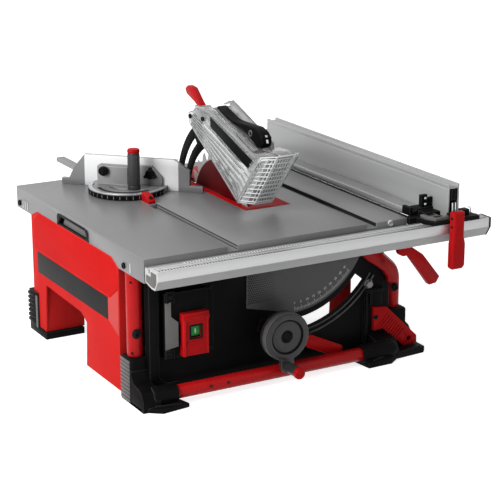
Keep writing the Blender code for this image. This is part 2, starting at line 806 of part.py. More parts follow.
def build_fence(rail):
    group = joint("fence_axis", (FENCE_X, RAIL_FRONT_Y, FENCE_LIFT), rail)
    right = FENCE_X + FENCE_W
    outline = [(FENCE_X, FENCE_LIFT), (right, FENCE_LIFT), (right, FENCE_TOP), (FENCE_X, FENCE_TOP)]
    profile = prism("fence_profile", outline, -FENCE_FRONT, FENCE_END_Y, "Y", "silver")
    bore_x = (FENCE_X + FENCE_WALL, right - FENCE_WALL)
    bore_z = (FENCE_LIFT + FENCE_WALL, FENCE_TOP - FENCE_WALL)
    cut(profile, box("bore", bore_x, (-FENCE_FRONT - 1, FENCE_END_Y + 1), bore_z, "silver"))

    head_top = FENCE_LIFT - FIT
    head_low = -RAIL_TOP + FIT
    head = box(
        "fence_head",
        (FENCE_X - HEAD_LEFT, FENCE_X + HEAD_RIGHT),
        (RAIL_FRONT_Y + 2, -RAIL_GAP - 2),
        (head_low, head_top),
        "black",
    )
    left = FENCE_X - SUPPORT_W - 2
    bracket = [
        (left, FENCE_LIFT - 0.5),
        (FENCE_X - FIT, FENCE_LIFT - 0.5),
        (FENCE_X - FIT, 16),
        (FENCE_X - 14, 38),
        (FENCE_X - 26, 38),
        (FENCE_X - 28, 18),
        (left + 4, 14),
        (left, 10),
    ]
    neck = box("neck", (left + 16, FENCE_X - FIT), (-RAIL_GAP - 14, 8), (FENCE_LIFT - 0.5, 12), "black")
    step = box("step", (left + 16, FENCE_X - FIT), (-RAIL_GAP - 14, -RAIL_GAP - 2), (head_low, 2), "black")
    join(head, step, neck, prism("bracket", bracket, 6, SUPPORT_FROM - 6, "Y", "black"))

    middle = FENCE_X + FENCE_W / 2 - 5
    ear_y = (LEVER_FRONT_Y + LEVER_T + FIT, -FENCE_FRONT - FIT)
    join(head, box("ear", (middle - 14, middle + 14), ear_y, (head_low, LEVER_UP + 14), "black"))

    hook_end = FENCE_END_Y + 6
    hook = [
        (FENCE_END_Y + FIT, FENCE_LIFT + 40),
        (FENCE_END_Y + FIT, FENCE_LIFT - FIT),
        (REAR_RAIL_Y + 4, FENCE_LIFT - FIT),
        (REAR_RAIL_Y + 4, -REAR_RAIL_TOP + FIT),
        (REAR_RAIL_Y + REAR_RAIL_W + FIT, -REAR_RAIL_TOP + FIT),
        (REAR_RAIL_Y + REAR_RAIL_W + FIT, -REAR_RAIL_TOP - 14),
        (hook_end, -REAR_RAIL_TOP - 14),
        (hook_end, FENCE_LIFT + 40),
    ]
    rear = prism("fence_rear_hook", hook, FENCE_X + 1, right - 1, "X", "black")
    put(group, profile, head, rear)

    hinge_y = LEVER_FRONT_Y + LEVER_T / 2
    hinge_z = LEVER_UP - LEVER_T / 2
    turn = joint("fence_lever_axis", (middle, hinge_y, hinge_z), group)
    low = LEVER_UP - LEVER_L
    lever = [
        (middle - LEVER_NECK / 2, LEVER_UP),
        (middle + LEVER_NECK / 2, LEVER_UP),
        (middle + LEVER_NECK / 2, LEVER_UP - 48),
        (middle + LEVER_W / 2, LEVER_UP - 60),
        (middle + LEVER_W / 2, low + 6),
        (middle + LEVER_W / 2 - 6, low),
        (middle - LEVER_W / 2 + 6, low),
        (middle - LEVER_W / 2, low + 6),
        (middle - LEVER_W / 2, LEVER_UP - 60),
        (middle - LEVER_NECK / 2, LEVER_UP - 48),
    ]
    side_view = arc((hinge_y, hinge_z), LEVER_T / 2, 90, 270, 12)
    side_view += [(LEVER_FRONT_Y, low), (LEVER_FRONT_Y + LEVER_T, low)]
    blank = prism("fence_lever", lever, LEVER_FRONT_Y - 1, LEVER_FRONT_Y + LEVER_T + 1, "Y", "red_plastic")
    sides = prism("sides", side_view, middle - LEVER_W, middle + LEVER_W, "X", "red_plastic")
    put(turn, combine(blank, [sides], "INTERSECT"))
    hinge_x = FENCE_X - 3
    flap_z = FENCE_LIFT - 0.5
    flip = joint("support_axis", (hinge_x, SUPPORT_FROM, flap_z + 5), group)
    section = [
        (hinge_x, flap_z),
        (hinge_x - SUPPORT_W, flap_z),
        (hinge_x - SUPPORT_W, flap_z + SUPPORT_LIP),
        (hinge_x - SUPPORT_W + SUPPORT_T, flap_z + SUPPORT_LIP),
        (hinge_x - SUPPORT_W + SUPPORT_T, flap_z + SUPPORT_T),
        (hinge_x, flap_z + SUPPORT_T),
    ]
    start = SUPPORT_FROM - 6 + FIT
    put(flip, prism("work_support", section, start, FENCE_END_Y - SUPPORT_TO, "Y", "silver"))


# Miter gauge


def turn_plan(outline):
    """Plan points given along and behind the miter fence, turned to the fence's angle about its pivot."""
    angle = math.radians(-MITER_ANGLE)
    c = math.cos(angle)
    s = math.sin(angle)
    return [(LEFT_SLOT_X + u * c - v * s, MITER_Y + u * s + v * c) for u, v in outline]


def build_miter_fence():
    """The gauge's plate, drawn flat and then turned. Its right shoulder clears the fully tilted blade."""
    half = MITER_FENCE_L / 2
    shoulder = MITER_PLATE_L / 2 + MITER_SHOULDER
    y = (MITER_FENCE_OFF, MITER_FENCE_OFF + MITER_FENCE_T)
    slope = math.cos(math.radians(MITER_ANGLE)) / math.tan(math.radians(BEVEL_MAX_ANGLE))
    blade_side = BLADE_X - BLADE_T - MITER_TILT_GAP
    shoulder_x = turn_plan([(shoulder, y[1])])[0][0]
    shoulder_h = (blade_side - shoulder_x) / math.tan(math.radians(BEVEL_MAX_ANGLE))
    full_from = shoulder - (MITER_FENCE_H - shoulder_h) / slope
    outline = [
        (-half, FIT),
        (half, FIT),
        (half, MITER_WING_H),
        (shoulder, MITER_WING_H),
        (shoulder, shoulder_h),
        (full_from, MITER_FENCE_H),
        (-MITER_PLATE_L / 2, MITER_FENCE_H),
        (-shoulder, MITER_WING_H + MITER_SHOULDER),
        (-shoulder - MITER_SHOULDER / 2, MITER_WING_H),
        (-half, MITER_WING_H),
    ]
    fence = prism("miter_fence", outline, *y, "Y", "silver")
    middle = Vector((LEFT_SLOT_X, MITER_Y, 0)) * MM
    turn = Matrix.Rotation(math.radians(-MITER_ANGLE), 4, "Z")
    fence.data.transform(Matrix.Translation(middle) @ turn)
    return fence


def build_miter():
    slide = joint("miter_axis", (LEFT_SLOT_X, MITER_Y, 0), ROOT)
    bar_x = (LEFT_SLOT_X - BAR_WIDTH / 2, LEFT_SLOT_X + BAR_WIDTH / 2)
    bar_y = (MITER_Y - BAR_FRONT, MITER_Y + BAR_BACK)
    put(slide, box("miter_bar", bar_x, bar_y, (-SLOT_DEPTH + FIT + 0.2, -FIT), "steel"))

    turn = joint("miter_head_axis", (LEFT_SLOT_X, MITER_Y, DISC_T), slide)
    near = MITER_FENCE_OFF - FIT
    disc = [(-DISC_R, near)] + [
        (DISC_R * math.cos(math.radians(a)), DISC_R * math.sin(math.radians(a))) for a in range(180, 361, 10)
    ]
    disc += [(DISC_R, near)]
    head = prism("miter_head", turn_plan(disc), FIT, DISC_T, "Z", "black")
    block_back = near - 0.5
    block = [(-MITER_BLOCK_L, block_back), (-MITER_BLOCK_L, 1), (0, 1), (6, block_back)]
    top = DISC_T + MITER_BLOCK_H
    join(head, prism("block", turn_plan(block), DISC_T - 1, top, "Z", "black"))
    inner = HANDLE_OFF - HANDLE_SCREW_R - RUN
    outer = HANDLE_OFF + HANDLE_SCREW_R + RUN
    sweep = ring_sector((0, 0), inner, outer, -70, 70, 16)
    cut(head, prism("arc_slot", turn_plan(sweep), -1, DISC_T + 1, "Z", "black"))
    put(turn, head, build_miter_fence())

    handle_y = MITER_Y - HANDLE_OFF
    grip = joint("miter_handle_axis", (LEFT_SLOT_X, handle_y, DISC_T), slide)
    shape = [
        (0, -FIT + RUN),
        (HANDLE_SCREW_R, -FIT + RUN),
        (HANDLE_SCREW_R, DISC_T + FIT),
        (HANDLE_R + 2, DISC_T + FIT),
        (HANDLE_R + 2, DISC_T + 8),
        (HANDLE_R, DISC_T + 12),
        (HANDLE_R, DISC_T + HANDLE_H - 5),
        (HANDLE_R - 2, DISC_T + HANDLE_H),
        (0, DISC_T + HANDLE_H),
    ]
    put(grip, turned("miter_handle", shape, (LEFT_SLOT_X, handle_y), "Z", "black", 24))


# Tilting cradle and lift


def build_cradle():
    tilt = joint("bevel_axis", (BLADE_X, CRADLE_FRONT_Y, 0), ROOT)
    edge = math.degrees(math.acos((PLATE + FIT) / TRUNNION_R))
    half_disc = arc((BLADE_X, 0), TRUNNION_R, -edge, edge, 24)
    for name, y in (("front", TRUNNION_FRONT_Y), ("rear", REAR_TRUNNION_Y)):
        put(ROOT, prism(f"trunnion_{name}", half_disc, y, y + TRUNNION_T, "Y", "cast"))

    left = BLADE_X - CRADLE_LEFT
    right = BLADE_X + CRADLE_RIGHT
    plate = [(left, -CRADLE_LOW), (right, -CRADLE_LOW), (right, -CRADLE_TOP), (left, -CRADLE_TOP)]
    inner = TRUNNION_R + RUN
    shoe = ring_sector((BLADE_X, 0), inner, inner + SHOE_T, -60, 18, 14)
    front_plate = (CRADLE_FRONT_Y, CRADLE_FRONT_Y + CRADLE_T)
    rear_plate = (CRADLE_BACK_Y - CRADLE_T, CRADLE_BACK_Y)
    cradle = prism("tilt_cradle", plate, *front_plate, "Y", "cast")
    floor_x = (left, BLADE_X - 25)
    floor_z = (-CRADLE_LOW - FLOOR_PLATE_T, -CRADLE_LOW + 1)
    join(
        cradle,
        prism("rear_plate", plate, *rear_plate, "Y", "cast"),
        prism("front_shoe", shoe, TRUNNION_FRONT_Y, CRADLE_FRONT_Y + 1, "Y", "cast"),
        prism("rear_shoe", shoe, CRADLE_BACK_Y - 1, REAR_TRUNNION_Y + TRUNNION_T, "Y", "cast"),
        box("floor", floor_x, (CRADLE_FRONT_Y, CRADLE_BACK_Y), floor_z, "cast"),
    )
    shaft_hole = rod("hole", SHAFT_R + RUN, (WHEEL_X, WHEEL_Z), CRADLE_FRONT_Y - 1,
                     CRADLE_FRONT_Y + CRADLE_T + 1, "Y", "cast", 20)
    cut(cradle, shaft_hole)
    put(tilt, cradle)
    rod_z = (-CRADLE_LOW + 1 + FIT, -LIFT_TOP + 14)
    for name, y in (("front", ROD_FRONT_Y), ("rear", ROD_BACK_Y)):
        put(tilt, rod(f"guide_rod_{name}", ROD_R, (BLADE_X - ROD_X, y), *rod_z, "Z", "steel", 20))
    return tilt


def build_lift(tilt):
    lift = joint("lift_axis", (BLADE_X, BLADE_Y, ARBOR_Z), tilt)
    plate_right = BLADE_X - LIFT_PLATE_X
    front = CRADLE_FRONT_Y + CRADLE_T + 8
    back = ROD_BACK_Y + 18
    boss_left = plate_right - LIFT_BOSS
    plan = [
        (boss_left, front),
        (plate_right, front),
        (plate_right, back),
        (boss_left, back),
        (boss_left, back - 36),
        (LIFT_LEFT, back - 36),
        (LIFT_LEFT, front + 44),
        (boss_left, front + 44),
    ]
    top = -LIFT_TOP
    low = top - LIFT_H
    carriage = prism("lift_carriage", plan, low, top, "Z", "cast")
    holes = [
        rod("hole", ROD_R + FIT, (BLADE_X - ROD_X, y), low - 1, top + 1, "Z", "cast", 20)
        for y in (ROD_FRONT_Y, ROD_BACK_Y)
    ]
    holes.append(rod("hole", SCREW_R + FIT, (WHEEL_X, SCREW_Y), low - 1, top + 1, "Z", "cast", 20))
    arbor_at = (BLADE_Y, ARBOR_Z)
    holes.append(rod("hole", BEARING_R + FIT, arbor_at, LIFT_LEFT - 1, plate_right + 1, "X", "cast"))
    cut(carriage, *holes)

    box_right = LIFT_LEFT - FIT
    box_left = box_right - GEARBOX_T
    case_low = MOTOR_Z - MOTOR_R - 2
    case = box(
        "gearbox_housing",
        (box_left, box_right),
        (BLADE_Y - GEARBOX_HALF, BLADE_Y + GEARBOX_HALF),
        (case_low, -GEARBOX_TOP),
        "cast",
    )
    flange_left = BLADE_X - BLADE_T / 2 - FIT - FLANGE_T
    join(case, rod("bearing", BEARING_R, arbor_at, box_right - 1, flange_left - FIT, "X", "cast"))
    cut(case, rod("bore", ARBOR_R + FIT, arbor_at, box_left + 6, flange_left + 1, "X", "cast", 24))
    motor_right = box_left - FIT
    motor_left = motor_right - MOTOR_L
    motor_shape = [
        (0, motor_left),
        (MOTOR_R - 8, motor_left),
        (MOTOR_R - 4, motor_left + 4),
        (MOTOR_R - 4, motor_left + 24),
        (MOTOR_R, motor_left + 26),
        (MOTOR_R, motor_right),
        (0, motor_right),
    ]
    motor = turned("motor", motor_shape, (BLADE_Y, MOTOR_Z), "X", "black")
    put(lift, carriage, case, motor, build_knife(), build_knife_clamp(plate_right), build_shroud())

    spin = joint("arbor_axis", (BLADE_X, BLADE_Y, ARBOR_Z), lift)
    put(spin, *build_arbor(box_left, flange_left))
    return lift


def build_arbor(box_left, flange_left):
    at = (BLADE_Y, ARBOR_Z)
    face = BLADE_X - BLADE_T / 2 - FIT
    outer = BLADE_X + BLADE_T / 2 + FIT
    nut_from = outer + FLANGE_T + FIT
    end = nut_from + NUT_T + 2
    arbor = [
        (0, box_left + 6 + FIT),
        (ARBOR_R, box_left + 6 + FIT),
        (ARBOR_R, flange_left),
        (FLANGE_R, flange_left),
        (FLANGE_R, face),
        (ARBOR_R, face),
        (ARBOR_R, end),
        (0, end),
    ]
    bore = ARBOR_R + FIT
    flange = [(bore, outer), (FLANGE_R, outer), (FLANGE_R, outer + FLANGE_T), (bore, outer + FLANGE_T)]
    nut = rod("arbor_nut", NUT_R, at, nut_from, nut_from + NUT_T, "X", "steel", 6)
    cut(nut, rod("bore", bore, at, nut_from - 1, nut_from + NUT_T + 1, "X", "steel", 24))
    return (
        turned("arbor_shaft", arbor, at, "X", "steel", 24),
        build_blade(bore),
        turned("outer_flange", flange, at, "X", "steel", 24),
        nut,
    )


def build_blade(bore):
    """A toothed disc: each tooth has its cutting face forward, a back that falls away and a round gullet."""
    root = BLADE_R - GULLET
    step = 360 / TEETH
    profile = (
        (0.00, root),
        (0.04, BLADE_R),
        (0.30, BLADE_R - 3),
        (0.55, root + 6),
        (0.75, root),
        (0.90, root - 3),
    )
    points = []
    for tooth in range(TEETH):
        for share, radius in profile:
            angle = math.radians((tooth + share) * step)
            points.append((BLADE_Y - radius * math.cos(angle), ARBOR_Z + radius * math.sin(angle)))
    start = BLADE_X - BLADE_T / 2
    blade = prism("saw_blade", points, start, start + BLADE_T, "X", "blade")
    return cut(blade, rod("bore", bore, (BLADE_Y, ARBOR_Z), start - 1, start + BLADE_T + 1, "X", "blade", 24))


def knife_arc(radius, start, end, steps):
    """Points behind the blade, with angles in degrees from straight up."""
    points = []
    for i in range(steps + 1):
        angle = math.radians(start + (end - start) * i / steps)
        points.append((BLADE_Y + radius * math.sin(angle), ARBOR_Z + radius * math.cos(angle)))
    return points


def build_knife():
    start = BLADE_X - KNIFE_T / 2
    end = start + KNIFE_T
    outline = knife_arc(KNIFE_OUT, 13, 104, 18) + knife_arc(KNIFE_IN, 104, 13, 14)
    knife = prism("riving_knife", outline, start, end, "X", "dark_steel")
    pivot = (GUARD_PIVOT_Y, GUARD_PIVOT_Z)
    join(knife, rod("lug", KNIFE_LUG, pivot, start, end, "X", "dark_steel", 24))
    slot_in = KNIFE_IN + KNIFE_SLOT_FROM
    slot = knife_arc(slot_in + KNIFE_SLOT_W, 38, 80, 8) + knife_arc(slot_in, 80, 38, 8)
    return cut(
        knife,
        prism("slot", slot, start - 1, end + 1, "X", "dark_steel"),
        rod("pin_hole", GUARD_PIN_R + FIT, pivot, start - 1, end + 1, "X", "dark_steel", 20),
    )


def build_knife_clamp(plate_right):
    low = -LIFT_TOP - LIFT_H
    y = (BLADE_Y + KNIFE_IN + 6, BLADE_Y + KNIFE_OUT - 6)
    x = (plate_right + FIT, BLADE_X - KNIFE_T / 2 - FIT)
    return box("knife_clamp", x, y, (low, -LIFT_TOP - 6), "cast")


def build_shroud():
    """The lower blade cover: half a drum round the blade, open at the top, with a dust outlet behind."""
    centre = (BLADE_Y, ARBOR_Z)
    drop = SHROUD_TOP + ARBOR_Z
    edge = math.degrees(math.acos(drop / SHROUD_R))
    outer = arc(centre, SHROUD_R, -edge, edge, 24)
    inner_r = SHROUD_R - SHROUD_WALL
    inner_edge = math.degrees(math.acos(drop / inner_r))
    inner = arc(centre, inner_r, -inner_edge, inner_edge, 24)
    inner = [(inner[0][0], inner[0][1] + 5)] + inner + [(inner[-1][0], inner[-1][1] + 5)]
    x = (BLADE_X - LIFT_PLATE_X + FIT, BLADE_X + SHROUD_HALF_W)
    shroud = prism("blade_shroud", outer, *x, "X", "black")
    port_z = ARBOR_Z - 92
    port_y = (BLADE_Y + 60, BLADE_Y + KNIFE_OUT)
    join(shroud, rod("port", SHROUD_HALF_W - 1, (BLADE_X, port_z), *port_y, "Y", "black", 24))
    return cut(
        shroud,
        prism("space", inner, x[0] + SHROUD_WALL, x[1] - SHROUD_WALL, "X", "black"),
        rod("duct", SHROUD_HALF_W - 3, (BLADE_X, port_z), port_y[0] - 20, port_y[1] + 1, "Y", "black", 24),
    )


# Handwheel, lift screw and bevel lock


def build_handwheel(tilt):
    at = (WHEEL_X, WHEEL_Z)
    turn = joint("handwheel_axis", (WHEEL_X, WHEEL_FRONT_Y, WHEEL_Z), tilt)
    front = WHEEL_FRONT_Y
    back = front + WHEEL_DEPTH
    shape = [
        (SHAFT_R + FIT, front + 6),
        (12, front + 6),
        (13, front + 3),
        (31, front + 3),
        (33, front + 6),
        (WHEEL_R - 9, front + 6),
        (WHEEL_R - 5, front),
        (WHEEL_R - 1, front + 2),
        (WHEEL_R, front + 6),
        (WHEEL_R, back - 12),
        (WHEEL_R - 7, back - 10),
        (WHEEL_R - 7, front + 12),
        (16, front + 12),
        (16, back),
        (SHAFT_R + FIT, back),
    ]
    wheel = turned("handwheel", shape, at, "Y", "black", 40)
    lobe_z = WHEEL_Z - LOBE_OUT
    bar = box("arm", (WHEEL_X - LOBE_R, WHEEL_X + LOBE_R), (front, front + LOBE_T),
              (lobe_z, WHEEL_Z - WHEEL_R + 8), "black")
    join(wheel, rod("lobe", LOBE_R, (WHEEL_X, lobe_z), front, front + LOBE_T, "Y", "black", 24), bar)
    cut(wheel, rod("pin_hole", SHAFT_R, (WHEEL_X, lobe_z), front - 1, front + LOBE_T + 1, "Y", "black", 20))

    apex = SCREW_Y
    shaft = [
        (0, front + 4),
        (SHAFT_R, front + 4),
        (SHAFT_R, apex - GEAR_R - FIT),
        (GEAR_R - RUN, apex - GEAR_R - FIT),
        (GEAR_R - GEAR_FACE - RUN, apex - GEAR_R + GEAR_FACE),
        (0, apex - GEAR_R + GEAR_FACE),
    ]
    put(turn, wheel, turned("wheel_shaft", shaft, at, "Y", "steel", 24))

    spin = joint("grip_axis", (WHEEL_X, front, lobe_z), turn)
    pin = SHAFT_R - FIT
    tip = front - FIT - GRIP_LEN
    grip = [
        (0, front + LOBE_T - 1),
        (pin, front + LOBE_T - 1),
        (pin, front - FIT),
        (GRIP_R - 1, front - FIT),
        (GRIP_R - 1, front - 14),
        (GRIP_R - 2, front - 26),
        (GRIP_R - 1, tip + 12),
        (GRIP_R, tip + 8),
        (GRIP_R, tip + 3),
        (GRIP_R - 4, tip),
        (0, tip),
    ]
    put(spin, turned("crank_grip", grip, (WHEEL_X, lobe_z), "Y", "black", 24))

    screw = joint("screw_axis", (WHEEL_X, SCREW_Y, WHEEL_Z), tilt)
    low = WHEEL_Z + GEAR_R + FIT
    high = -LIFT_TOP + 12
    gear_top = low + 4
    shape = [(0, low - GEAR_FACE), (GEAR_R - GEAR_FACE - RUN, low - GEAR_FACE), (GEAR_R - RUN, low)]
    shape += [(GEAR_R - RUN, gear_top), (SCREW_R, gear_top)]
    pitch = (high - gear_top) / THREAD_COUNT
    for i in range(THREAD_COUNT):
        start = gear_top + i * pitch
        shape += [(SCREW_R - 1, start + pitch * 0.5), (SCREW_R, start + pitch)]
    shape += [(0, high)]
    put(screw, turned("lift_screw", shape, (WHEEL_X, SCREW_Y), "Z", "steel", 20))

    lock = joint("bevel_lock_axis", (WHEEL_X, LOCK_Y, WHEEL_Z), tilt)
    put(lock, build_lock_lever(at))


def build_lock_lever(at):
    """A lever on the wheel shaft, with a round eye and a broad grip that hangs to the lower right."""
    drop = math.radians(-LOCK_DROP)
    outline = [
        (14, 9),
        (70, 9),
        (82, LOCK_W / 2),
        (LOCK_LEN - 4, LOCK_W / 2 - 1),
        (LOCK_LEN, LOCK_W / 2 - 5),
        (LOCK_LEN - 3, -LOCK_W / 2 + 3),
        (LOCK_LEN - 8, -LOCK_W / 2),
        (84, -LOCK_W / 2),
        (70, -9),
        (14, -9),
    ]
    c = math.cos(drop)
    s = math.sin(drop)
    arm = [(at[0] + u * c - v * s, at[1] + u * s + v * c) for u, v in outline]
    lever = prism("bevel_lock_lever", arm, LOCK_Y, LOCK_Y + LOCK_T, "Y", "red_plastic")
    join(lever, rod("eye", 18, at, LOCK_Y, LOCK_Y + LOCK_T, "Y", "red_plastic", 24))
    return cut(lever, rod("bore", SHAFT_R + FIT, at, LOCK_Y - 1, LOCK_Y + LOCK_T + 1, "Y", "red_plastic", 20))


# Blade guard


def guard_outline(drop):
    """Side view of the guard in (y, z): flared nose, notch behind it and a falling lower edge."""
    y = GUARD_PIVOT_Y
    z = GUARD_PIVOT_Z
    top = [
        (y + 16, z + 12 - drop),
        (y - 12, z + 22 - drop),
        (y - 96, z - 7 - drop),
        (y - 188, z - 40 - drop),
        (y - 216, z - 24 - drop),
        (y - 272, z - 22 - drop),
        (y - 286, z - 30 - drop),
    ]
    return top, [(y - 194, z - 134), (y + 14, z - 9)]


def build_guard(lift):
    place = (BLADE_X, GUARD_PIVOT_Y, GUARD_PIVOT_Z)
    follow_lift = joint("guard_pin_axis", place, lift)
    reach = GUARD_HALF_W - GUARD_WALL - FIT
    at = (GUARD_PIVOT_Y, GUARD_PIVOT_Z)
    pin = rod("guard_pivot_pin", GUARD_PIN_R, at, BLADE_X - reach, BLADE_X + reach, "X", "steel", 20)
    put(follow_lift, pin)

    follow_bevel = joint("guard_sleeve_axis", place, follow_lift)
    bore = GUARD_PIN_R + FIT
    left = BLADE_X - reach + FIT
    ring = [(bore, left), (bore + 3, left), (bore + 3, left + 10), (bore, left + 10)]
    put(follow_bevel, turned("guard_sleeve", ring, at, "X", "black", 20))

    swing = joint("guard_axis", place, follow_bevel)
    top, low = guard_outline(0)
    inner_top, inner_low = guard_outline(GUARD_WALL)
    for side, sign in (("left", -1), ("right", 1)):
        outer_x = sorted((BLADE_X + sign * GUARD_HALF_W, BLADE_X + sign * GUARD_MID))
        shell = prism(f"guard_{side}_shell", top + low, *outer_x, "X", "clear")
        hollow_x = sorted((BLADE_X + sign * (GUARD_HALF_W - GUARD_WALL), BLADE_X + sign * (GUARD_MID - 1)))
        below = [(inner_low[0][0], inner_low[0][1] - 20), (inner_low[1][0] + 20, inner_low[1][1] - 20)]
        back = [(inner_top[0][0] + 20, inner_top[0][1])]
        front = [(inner_top[-1][0] + GUARD_WALL, inner_top[-1][1])]
        space = back + inner_top[:-1] + front + below
        put(swing, cut(shell, prism("space", space, *hollow_x, "X", "clear")))

    rise = FIT
    heel = (GUARD_PIVOT_Y + 2, GUARD_PIVOT_Z + 17 + FIT)
    spine_low = [heel] + [(y, z + rise) for y, z in top[1:4]]
    spine_high = [(y, z + 7) for y, z in reversed(top[1:4])] + [(heel[0], heel[1] + 7)]
    spine_x = (BLADE_X - GUARD_MID - SPINE_W, BLADE_X - GUARD_MID)
    put(swing, prism("guard_spine", spine_low + spine_high, *spine_x, "X", "black"))

    bar_low = [(y, z + rise) for y, z in top[1:4]]
    bar_high = [(y, z + height) for (y, z), height in zip(reversed(top[1:4]), (36, 16, 7))]
    bar_x = (BLADE_X + BAR_X, BLADE_X + BAR_X + BAR_W)
    put(swing, prism("guard_arm", bar_low + bar_high, *bar_x, "X", "black"))

    ear_y = heel[0] + 6
    ear_z = heel[1] + 4.5
    flip = joint("guard_lever_axis", (BLADE_X - 11, ear_y, ear_z), swing)
    lever = [
        (ear_y - 5.2, ear_z - 1.5),
        (ear_y - 2.5, ear_z - 5),
        (ear_y + 2.5, ear_z - 5),
        (ear_y + 24, ear_z + 6),
        (ear_y + 60, ear_z + 18),
        (ear_y + 66, ear_z + 28),
        (ear_y + 55, ear_z + 36),
        (ear_y + 34, ear_z + 34),
        (ear_y + 4, ear_z + 9),
        (ear_y - 2.5, ear_z + 5),
        (ear_y - 5.2, ear_z + 1.5),
    ]
    put(flip, prism("guard_lever", lever, BLADE_X - 18, BLADE_X - 5, "X", "red_plastic"))


# Switch


def build_switch():
    back = PANEL_Y - FIT
    front = back - SWITCH_T
    top = -SWITCH_TOP
    low = top - SWITCH_H
    housing = box("switch_housing", (SWITCH_X, SWITCH_X + SWITCH_W), (front, back), (low, top), "black")

    flap_back = front - FIT
    flap_front = flap_back - FLAP_T
    flap_low = -FLAP_TOP - FLAP_H
    flap_x = (FLAP_X, FLAP_X + FLAP_W)
    flap = box("switch_flap", flap_x, (flap_front, flap_back), (flap_low, -FLAP_TOP), "red_plastic")
    button_x = FLAP_X + (FLAP_W - BUTTON) / 2
    button_top = -FLAP_TOP - BUTTON_DROP
    window_x = (button_x - RUN, button_x + BUTTON + RUN)
    window_z = (button_top - BUTTON - RUN, button_top + RUN)
    cut(flap, box("window", window_x, (flap_front - 1, flap_back + 1), window_z, "red_plastic"))
    hinge = joint("switch_flap_axis", (FLAP_X + FLAP_W / 2, flap_back, -FLAP_TOP), ROOT)
    put(hinge, flap)

    well = 6
    well_z = (window_z[0] - RUN, window_z[1] + RUN)
    cut(housing, box("well", window_x, (front - 1, front + well), well_z, "black"))
    put(ROOT, housing)
    button_y = (flap_front + 4, flap_front + 4 + BUTTON_T)
    press = joint("start_button_axis", (button_x + BUTTON / 2, button_y[0], button_top), ROOT)
    button_low = button_top - BUTTON + BUTTON_SWING_GAP
    button = box("start_button", (button_x, button_x + BUTTON), button_y, (button_low, button_top), "green")
    stem_x = (button_x + 6, button_x + BUTTON - 6)
    stem_z = (button_low + 5, button_top - 5)
    join(button, box("stem", stem_x, (button_y[1] - 1, front + well - 3), stem_z, "green"))
    put(press, button)


# Push stick and its holder


def build_push_stick(panel):
    x = TABLE_W - PANEL_RIGHT_GAP - HOLDER_W - 4
    stick_back = STICK_Y + STICK_T
    plate_y = (stick_back + FIT, PANEL_Y + 1)
    holder = box("holder", (x, x + HOLDER_W), plate_y, (FLOOR_Z + 30, FLOOR_Z + 143), "black")
    peg = (x + 22, FLOOR_Z + 85)
    join(panel, holder, rod("peg", 5, peg, STICK_Y - 1, PANEL_Y + 1, "Y", "black", 20))
    outline = [
        (x + 16, FLOOR_Z + 106),
        (x + 48, FLOOR_Z + 102),
        (x + 122, FLOOR_Z + 30),
        (x + 123, FLOOR_Z + 15),
        (x + 92, FLOOR_Z + 11),
        (x + 42, FLOOR_Z + 59),
        (x + 18, FLOOR_Z + 57),
    ]
    stick = prism("push_stick", outline, STICK_Y, stick_back, "Y", "red_plastic")
    cut(
        stick,
        rod("peg_hole", 5 + FIT, peg, STICK_Y - 1, stick_back + 1, "Y", "red_plastic", 20),
        rod("hang_hole", 6, (x + 103, FLOOR_Z + 26), STICK_Y - 1, stick_back + 1, "Y", "red_plastic", 20),
    )
    pull = joint("push_stick_axis", (peg[0], STICK_Y, peg[1]), ROOT)
    put(pull, stick)
    put(ROOT, panel)


# The whole saw


for old in list(bpy.data.objects):
    bpy.data.objects.remove(old)

MATERIALS = make_materials()
PLACES = {}
ROOT = joint("table_saw", (0, 0, 0), None)

build_table()
build_side_panels()
PANEL = build_front_panel()
build_tubes()
build_feet()
build_fence(build_rails())
build_miter()
CRADLE = build_cradle()
build_guard(build_lift(CRADLE))
build_handwheel(CRADLE)
build_switch()
build_push_stick(PANEL)
ROOT.location = -FRAME_MIDDLE * MM
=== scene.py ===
"""Looks of the portable table saw: finishes for its solids, and the small pieces that sit on them."""

import math

import bmesh
import bpy
from mathutils import Matrix, Vector


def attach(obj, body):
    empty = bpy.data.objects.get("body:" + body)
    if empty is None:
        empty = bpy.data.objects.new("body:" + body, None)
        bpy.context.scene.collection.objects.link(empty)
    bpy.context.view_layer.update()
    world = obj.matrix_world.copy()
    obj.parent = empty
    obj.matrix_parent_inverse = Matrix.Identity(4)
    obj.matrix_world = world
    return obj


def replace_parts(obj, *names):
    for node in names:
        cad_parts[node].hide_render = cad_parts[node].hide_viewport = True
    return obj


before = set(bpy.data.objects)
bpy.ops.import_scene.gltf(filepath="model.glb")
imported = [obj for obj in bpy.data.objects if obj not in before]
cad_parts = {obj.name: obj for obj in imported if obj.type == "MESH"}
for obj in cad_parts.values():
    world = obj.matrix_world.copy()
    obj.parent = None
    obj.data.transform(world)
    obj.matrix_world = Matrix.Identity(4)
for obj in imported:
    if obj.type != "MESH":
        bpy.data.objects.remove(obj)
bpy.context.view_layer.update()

# The drawing's origin, the table's front left top corner, in millimetres from the frame's origin
CORNER = Vector((-363.5, -367.0, 298.0))
MILLIMETRE = 0.001

# Directions of the drawing
LEFT, RIGHT = Vector((-1, 0, 0)), Vector((1, 0, 0))
FRONT, BACK = Vector((0, -1, 0)), Vector((0, 1, 0))
UP = Vector((0, 0, 1))
SLANT = math.sqrt(0.5)

